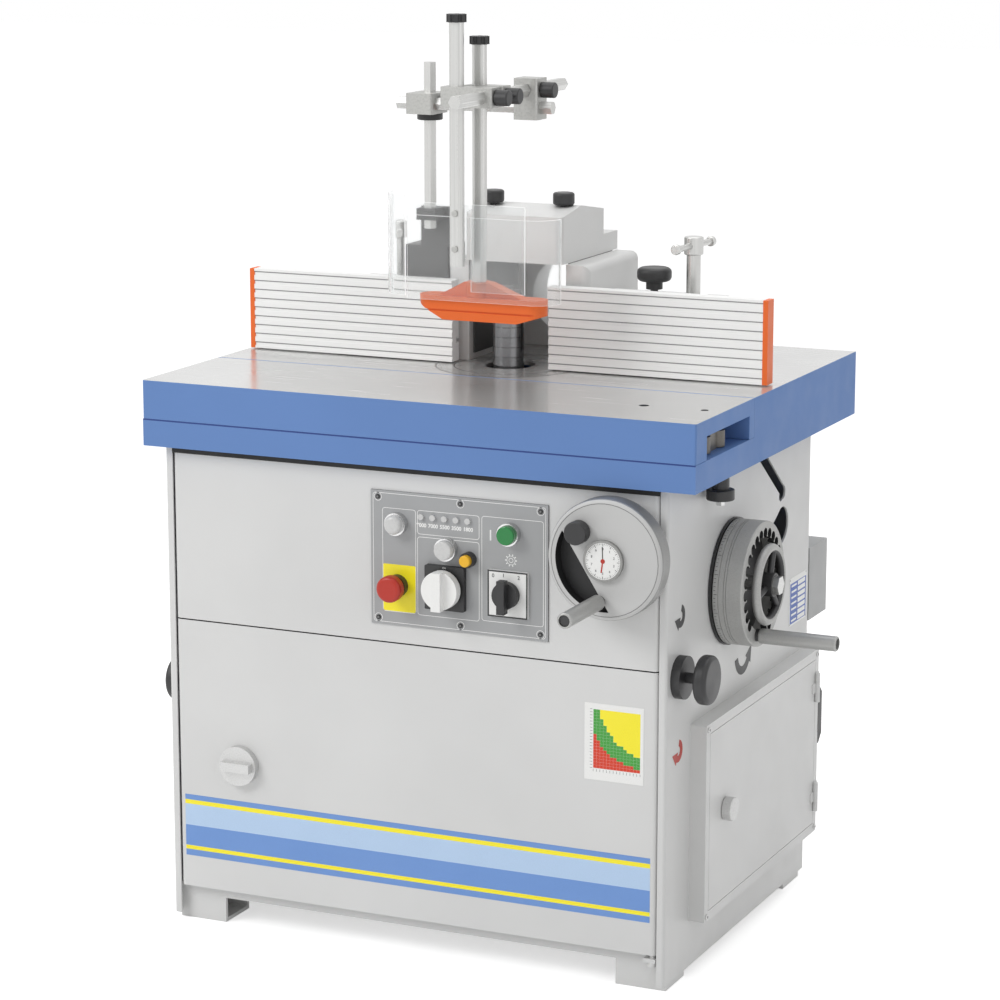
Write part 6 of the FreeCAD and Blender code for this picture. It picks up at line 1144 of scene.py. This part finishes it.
def panel_print(plane):
    """Lines, screws and the yellow field on the control plate."""
    def build_lines(bm):
        for box in (PANEL_EDGE, *PANEL_BOXES):
            line_box(bm, plane, *scaled(box), PANEL_BOX_R)
        for x, y in PANEL_SCREWS:
            line_ring(bm, plane, x * MM, y * MM, PANEL_SCREW_RING_R)
        slab(bm, plane, oblong(*scaled(START_BAR)), thick=INK_T)
        x, y = scaled(SPINDLE_MARK)
        line_ring(bm, plane, x, y, SPINDLE_MARK_R)
        line_ring(bm, plane, x, y, SPINDLE_MARK_R / 2)
        for i in range(SPINDLE_MARK_TEETH):
            slab(bm, plane, ray(x, y, FULL_TURN * i / SPINDLE_MARK_TEETH, SPINDLE_MARK_R,
                                SPINDLE_MARK_R + SPINDLE_TOOTH, 2 * LINE_W), thick=INK_T)

    def build_screws(bm):
        for x, y in PANEL_SCREWS:
            socket_screw(bm, plane, x * MM, y * MM, PANEL_SCREW_R)

    mesh_piece("panel_lines", build_lines, PANEL_BODY, white)
    mesh_piece("panel_screws", build_screws, PANEL_BODY, black, grey_ink)
    field = rounded(*scaled(STOP_FIELD), PANEL_BOX_R / 2)
    mesh_piece("stop_field", lambda bm: slab(bm, plane, field, thick=INK_T), PANEL_BODY, yellow)


def speed_figures(plane, solids):
    """The speeds below the row of small lamps."""
    lamps = sorted((i for i in solids if max(i.size) < SPEED_LAMP_MAX < 2 * i.size.y),
                   key=lambda i: i.centre.x)
    for i, (lamp, text) in enumerate(zip(lamps, SPEED_FIGURES)):
        spot = lamp.centre - plane.origin
        figures("speed_figure_%d" % i, text, plane, spot.x, spot.z - SPEED_DROP, SPEED_SIZE, white,
                PANEL_BODY, bold=SPEED_BOLD)


def selector_print(base):
    """The black border and the figures around the selector."""
    plane = front_of(base)
    wide, tall = base.size.x / 2, base.size.z / 2
    inset_wide, inset_tall = wide - SELECTOR_BORDER, tall - SELECTOR_BORDER
    mesh_piece("selector_border", lambda bm: band(
        bm, plane, oblong(-wide, wide, -tall, tall),
        oblong(-inset_wide, inset_wide, -inset_tall, inset_tall), 0.0, SHEET_T), PANEL_BODY, black)
    for text, x, y in SELECTOR_FIGURES:
        figures("selector_figure_" + text, text, plane, x * base.size.x, y * base.size.z, SELECTOR_SIZE,
                black, PANEL_BODY)


def switch_print(base):
    """The words on the base of the main switch."""
    for text, x, y in SWITCH_FIGURES:
        figures("switch_" + text.lower(), text, front_of(base), x * base.size.x, y * base.size.z,
                SWITCH_SIZE, white, PANEL_BODY)


def control_print():
    """All that is printed on the control plate, and its screws."""
    solids = islands("control_panel")
    plane = front_of(solids[0])
    bases = [i for i in solids if is_switch_base(i)]
    panel_print(plane)
    speed_figures(plane, solids)
    selector_print(next(i for i in bases if i.size.y < SELECTOR_T_MAX))
    switch_print(next(i for i in bases if i.size.y > SELECTOR_T_MAX))


# Tilt indicator: plain ticks and figures, and two hands with their angle, length, width and finish
DIAL_R = 26.0 * MM
DIAL_TICKS = 60
DIAL_LONG_EVERY = 5
DIAL_TICK_L = (2.0 * MM, 4.0 * MM)
DIAL_TICK_W = (0.4 * MM, 0.7 * MM)
DIAL_FIGURES = ("0", "1", "2", "3", "4", "5", "6", "7", "8", "9")
DIAL_FIGURE_R = 18.0 * MM
DIAL_FIGURE_SIZE = 5.0 * MM
DIAL_HANDS = ((92.0, 21.0 * MM, 1.4 * MM, 0), (262.0, 17.0 * MM, 2.0 * MM, 1))
DIAL_HUB_R = 3.4 * MM


def indicator_dial():
    """Ticks, figures and hands on the round tilt indicator."""
    plane = front_of(next(i for i in islands("gravity_indicator") if i.size.y < DIAL_GLASS_T_MAX))
    body = BODY_OF["gravity_indicator"]

    def build(bm):
        for i in range(DIAL_TICKS):
            long = 1 if i % DIAL_LONG_EVERY == 0 else 0
            slab(bm, plane, ray(0.0, 0.0, FULL_TURN * i / DIAL_TICKS, DIAL_R - DIAL_TICK_L[long], DIAL_R,
                                DIAL_TICK_W[long]), thick=INK_T)
        for degrees, length, width, finish in DIAL_HANDS:
            slab(bm, plane, ray(0.0, 0.0, degrees, 0.0, length, width), SHEET_LIFT + INK_T, INK_T, finish)
        slab(bm, plane, disc(0.0, 0.0, DIAL_HUB_R), SHEET_LIFT + 2 * INK_T, INK_T, 1)

    mesh_piece("dial_marks", build, body, black, red)
    for i, text in enumerate(DIAL_FIGURES):
        turn = math.pi / 2 - 2 * math.pi * i / len(DIAL_FIGURES)
        figures("dial_figure_" + text, text, plane, *around(0.0, 0.0, DIAL_FIGURE_R, turn), DIAL_FIGURE_SIZE,
                black, body)


# Tilt handwheel: the fine line round its face
WHEEL_LINE_R = 82.5 * MM


def wheel_line():
    """A thin round line near the rim of the tilt wheel."""
    plane = front_of(islands("tilt_handwheel")[0])
    mesh_piece("wheel_line", lambda bm: line_ring(bm, plane, 0.0, 0.0, WHEEL_LINE_R),
               BODY_OF["tilt_handwheel"], grey_ink)


# Height drum: a ring of division lines along its back edge
DRUM_TICKS = 100
DRUM_LONG_EVERY = 5
DRUM_TICK_START = 2.6 * MM
DRUM_TICK_L = (3.2 * MM, 5.6 * MM)
DRUM_TICK_W = 0.7 * MM


def drum_divisions():
    """Dark division lines round the height drum."""
    drum = islands("height_drum")[0]
    along = Vector((1.0, 0.0, 0.0))
    back = Vector((drum.low.x, drum.centre.y, drum.centre.z))
    half = DRUM_TICK_W / 2

    def build(bm):
        for i in range(DRUM_TICKS):
            out = Vector((0.0, *around(0.0, 0.0, 1.0, 2 * math.pi * i / DRUM_TICKS)))
            plane = Plane(back + out * drum.size.y / 2, along, out.cross(along))
            length = DRUM_TICK_L[1 if i % DRUM_LONG_EVERY == 0 else 0]
            slab(bm, plane, oblong(DRUM_TICK_START, DRUM_TICK_START + length, -half, half), thick=INK_T)

    mesh_piece("drum_divisions", build, BODY_OF["height_drum"], black)


# Right side: turning arrows, each with its centre, radius and width in millimetres and its two angles
SIDE_ARROWS = (("tilt_lock_arrow", (-258.0, 562.0, 12.0, 10.0), (75.0, -115.0), black),
               ("height_arrow", (6.0, 446.0, 28.0, 13.0), (190.0, 325.0), black),
               ("table_lock_arrow", (-262.0, 360.0, 12.0, 10.0), (75.0, -115.0), red))
RIGHT_SIDE = side_plane(islands("side_panel_right")[0].high.x)


def side_arrows():
    """Printed arrows on the right panel that show which way its wheel and knobs turn."""
    for name, sizes, angles, finish in SIDE_ARROWS:
        mesh_piece(name, lambda bm: arc_arrow(bm, RIGHT_SIDE, *scaled(sizes), *angles), BASE, finish)


# Blank plate on the right side: its box in millimetres, and the start, end and height of its columns
BLANK_PLATE = (217.0, 298.0, 437.0, 515.0)
BLANK_PLATE_EDGE = 3.0 * MM
BLANK_PLATE_ROWS = 7
BLANK_PLATE_COLUMN_SHARES = ((0.08, 0.4, 0.35), (0.48, 0.94, 0.72))
RIVET_R = 1.8 * MM
PLATE_SHEET, PLATE_FIELD, PLATE_RIVET = range(3)


def blank_plate():
    """A riveted plate with empty rows."""
    x0, x1, y0, y1 = scaled(BLANK_PLATE)
    edge = BLANK_PLATE_EDGE
    left, low, top = x0 + edge, y0 + edge, y1 - 3 * edge
    wide, row_h = x1 - edge - left, (top - low) / BLANK_PLATE_ROWS
    rivet = ((RIVET_R, 0.0), (RIVET_R, 2 * SHEET_T), (RIVET_R / 2, 3 * SHEET_T))

    def build(bm):
        slab(bm, RIGHT_SIDE, rounded(x0, x1, y0, y1, edge), finish=PLATE_SHEET)
        ink(bm, RIGHT_SIDE, oblong(left, x1 - edge, low, top), PLATE_FIELD)
        for row in range(BLANK_PLATE_ROWS):
            for start, end, share in BLANK_PLATE_COLUMN_SHARES:
                bottom = low + row_h * (row + (1 - share) / 2)
                box = oblong(left + wide * start, left + wide * end, bottom, bottom + row_h * share)
                slab(bm, RIGHT_SIDE, box, INK_LIFT + INK_T, INK_T, PLATE_SHEET)
        for x in (left, x1 - edge):
            for y in (low, y1 - edge):
                lathe(bm, RIGHT_SIDE, x, y, rivet, PLATE_RIVET)

    mesh_piece("blank_plate", build, BASE, white, plate_blue, zinc)


# Switch box: the screws in the corners of its rim
BOX_SCREW_R = 4.2 * MM
BOX_SCREW_INSET = 8.0 * MM


def box_screws():
    """Four socket screws in the rim of the switch box."""
    rim = islands("switch_box")[0]
    plane = side_plane(rim.high.x)

    def build(bm):
        for y in (rim.low.y + BOX_SCREW_INSET, rim.high.y - BOX_SCREW_INSET):
            for z in (rim.low.z + BOX_SCREW_INSET, rim.high.z - BOX_SCREW_INSET):
                socket_screw(bm, plane, y, z, BOX_SCREW_R)

    mesh_piece("switch_box_screws", build, BODY_OF["switch_box"], latch_metal, black)


# Sliding table: the painted line left along its back edge
EDGE_LINE_W = 2.4 * MM
EDGE_LINE_INSET = 0.4 * MM


def table_line():
    """A thin blue line where the sliding table meets the fixed one."""
    slide = islands("sliding_table")[0]
    plane = top_plane(slide.high.z)
    back = slide.high.y - EDGE_LINE_INSET
    line = oblong(slide.low.x, slide.high.x, back - EDGE_LINE_W, back)
    mesh_piece("table_line", lambda bm: slab(bm, plane, line, lift=0.0, thick=INK_T),
               BODY_OF["sliding_table"], blue)


# Painted shade: a dark blue line between the sliding table and the fixed table below it
SLIDE_SHADOW_H = 2.2 * MM


def slide_shadow_line():
    """A dark blue line of painted shade below the sliding table, along the front of the fixed table."""
    slide = islands("sliding_table")[0]
    low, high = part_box("main_table")
    line = oblong(low.x, high.x, slide.low.z - SLIDE_SHADOW_H, slide.low.z - SHEET_LIFT)
    mesh_piece("slide_shadow_line", lambda bm: slab(bm, front_plane(low.y), line, thick=INK_T), BASE, shaded_table_blue)


# Painted shade in the seams around the two rings let into the table
RING_SHADOW_W = 1.6 * MM
RING_H_MIN = 1.0 * MM


def ring_shadow_lines():
    """Dark lines of painted shade in the seams around the table rings."""
    plane = top_plane(TABLE_TOP)

    def build(bm):
        for ring in islands("table_rings"):
            if ring.size.z > RING_H_MIN:
                line_ring(bm, plane, *SPINDLE_AXIS.xy, ring.size.x / 2, RING_SHADOW_W, lift=INK_T)

    mesh_piece("ring_shadow_lines", build, BODY_OF["table_rings"], bolt_dark_and_shade)


# Fence plates: a grey line of painted shadow along the top of each groove
GROOVE_NEAR = 0.3 * MM
GROOVE_DEEP = 4.0 * MM
GROOVE_SHADOW_W = 2.0 * MM
GROOVE_DIGITS = 5


def groove_shadow_lines():
    """Thin grey lines of painted shadow in the grooves of both fence plates."""
    for side in ("left", "right"):
        node = "fence_plate_" + side
        plate = islands(node)[0]
        mesh = NODES[node].data
        floors = [f for f in plate.faces if f.normal.y < -FACING
                  and GROOVE_NEAR < f.center.y - plate.low.y < GROOVE_DEEP]
        tops = sorted({round(max(mesh.vertices[v].co.z for v in f.vertices), GROOVE_DIGITS) for f in floors})
        plane = front_plane(max(f.center.y for f in floors))

        def build(bm):
            for top in tops:
                line = oblong(plate.low.x, plate.high.x, top - GROOVE_SHADOW_W, top)
                slab(bm, plane, line, 0.0, INK_T)

        mesh_piece("groove_shadow_lines_" + side, build, BODY_OF[node], groove_shadow_grey)


# Black strip on the cabinet under the table's front edge: painted shadow
SHADOW_STRIP_H = 10.0 * MM
SHADOW_STRIP_T = 1.2 * MM


def table_shadow_strip():
    """A black strip of painted shadow that shows as a dark line below the table."""
    low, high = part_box("upper_front_panel")
    line = oblong(low.x, high.x, high.z - SHADOW_STRIP_H, high.z)
    mesh_piece("table_shadow_strip", lambda bm: slab(bm, front_plane(low.y), line, 0.0, SHADOW_STRIP_T), BASE, rubber_and_shade)


# Slotted screws in the ends of the two grips
SLOT_L = 13.0 * MM
SLOT_W = 2.2 * MM
SLOT_TURN = 40.0


def grip_slots():
    """Dark slots across the grip screws."""
    turn = islands("tilt_handwheel")[-1]
    lift = islands("height_drum")[-1]
    line = ray(0.0, 0.0, SLOT_TURN, -SLOT_L / 2, SLOT_L / 2, SLOT_W)
    faces = (("tilt_grip_slot", front_of(turn), "tilt_handwheel"),
             ("height_grip_slot", side_plane(lift.high.x, lift.centre.y, lift.centre.z), "height_drum"))
    for name, plane, node in faces:
        mesh_piece(name, lambda bm: slab(bm, plane, line, 0.0, INK_T), BODY_OF[node], black)


dress_cabinet()
dress_controls()
dress_table()
dress_drive()
dress_fence()
dress_guard()
door_stripe()
speed_chart()
control_print()
indicator_dial()
wheel_line()
drum_divisions()
side_arrows()
blank_plate()
box_screws()
table_line()
slide_shadow_line()
ring_shadow_lines()
groove_shadow_lines()
table_shadow_strip()
grip_slots()


def seen_directly(tree):
    """1 for rays from the camera, from gloss and through glass, 0 for the rest."""
    path = tree.nodes.new("ShaderNodeLightPath")
    seen = math_node(tree, "MAXIMUM", path.outputs["Is Camera Ray"], path.outputs["Is Glossy Ray"])
    return math_node(tree, "MAXIMUM", seen, path.outputs["Is Transmission Ray"])


def pale_floor():
    """A wide white floor that takes the shadow."""
    made = paint("pale_floor", FLOOR_WHITE, FLOOR_GLOSS, FLOOR_PEEL)
    nodes, links = made.node_tree.nodes, made.node_tree.links
    glow = nodes.new("ShaderNodeEmission")
    links.new(math_node(made.node_tree, "MULTIPLY", seen_directly(made.node_tree), FLOOR_GLOW),
              glow.inputs["Strength"])
    both = nodes.new("ShaderNodeAddShader")
    links.new(nodes["Principled BSDF"].outputs["BSDF"], both.inputs[0])
    links.new(glow.outputs["Emission"], both.inputs[1])
    links.new(both.outputs["Shader"], nodes["Material Output"].inputs["Surface"])
    mesh = bpy.data.meshes.new("studio_floor")
    half = FLOOR_SIZE / 2
    z = CAD_BOX[0].z - SHEET_T
    corners = [(x, y, z) for x, y in oblong(-half, half, -half, half)]
    mesh.from_pydata(corners, [], [range(len(corners))])
    mesh.materials.append(made)
    floor = add_object("studio_floor", mesh)


def white_world():
    """An even white world, seen brighter than it lights."""
    world = bpy.data.worlds.new("studio")
    world.use_nodes = True
    tree = world.node_tree
    background = tree.nodes["Background"]
    background.inputs["Color"].default_value = WORLD_WHITE
    tree.links.new(remap(tree, seen_directly(tree), *FULL, WORLD_LIGHT, WORLD_SEEN),
                   background.inputs["Strength"])
    bpy.context.scene.world = world


def looking(way):
    """The turn of a lamp or camera that looks along a direction."""
    return way.to_track_quat("-Z", "Y").to_euler()


def lamps_and_camera():
    """Soft lamps and the camera at the picture's angle."""
    for name, spot, size, watts in LAMPS:
        lamp = bpy.data.lights.new(name, "AREA")
        lamp.energy = watts
        lamp.size = size
        made = add_object(name, lamp)
        made.location = spot
        made.rotation_euler = looking(CAMERA_AIM - Vector(spot))
    azimuth, elevation = math.radians(CAMERA_AZIMUTH), math.radians(CAMERA_ELEVATION)
    back = Vector((math.sin(azimuth) * math.cos(elevation), -math.cos(azimuth) * math.cos(elevation),
                   math.sin(elevation)))
    view = bpy.data.cameras.new("camera")
    view.lens = CAMERA_LENS
    view.clip_end = CAMERA_REACH
    camera = add_object("camera", view)
    camera.location = CAMERA_AIM + back * CAMERA_DISTANCE
    camera.rotation_euler = looking(-back)
    bpy.context.scene.camera = camera
    bpy.context.scene.view_settings.view_transform = "Standard"


pale_floor()
white_world()
lamps_and_camera()
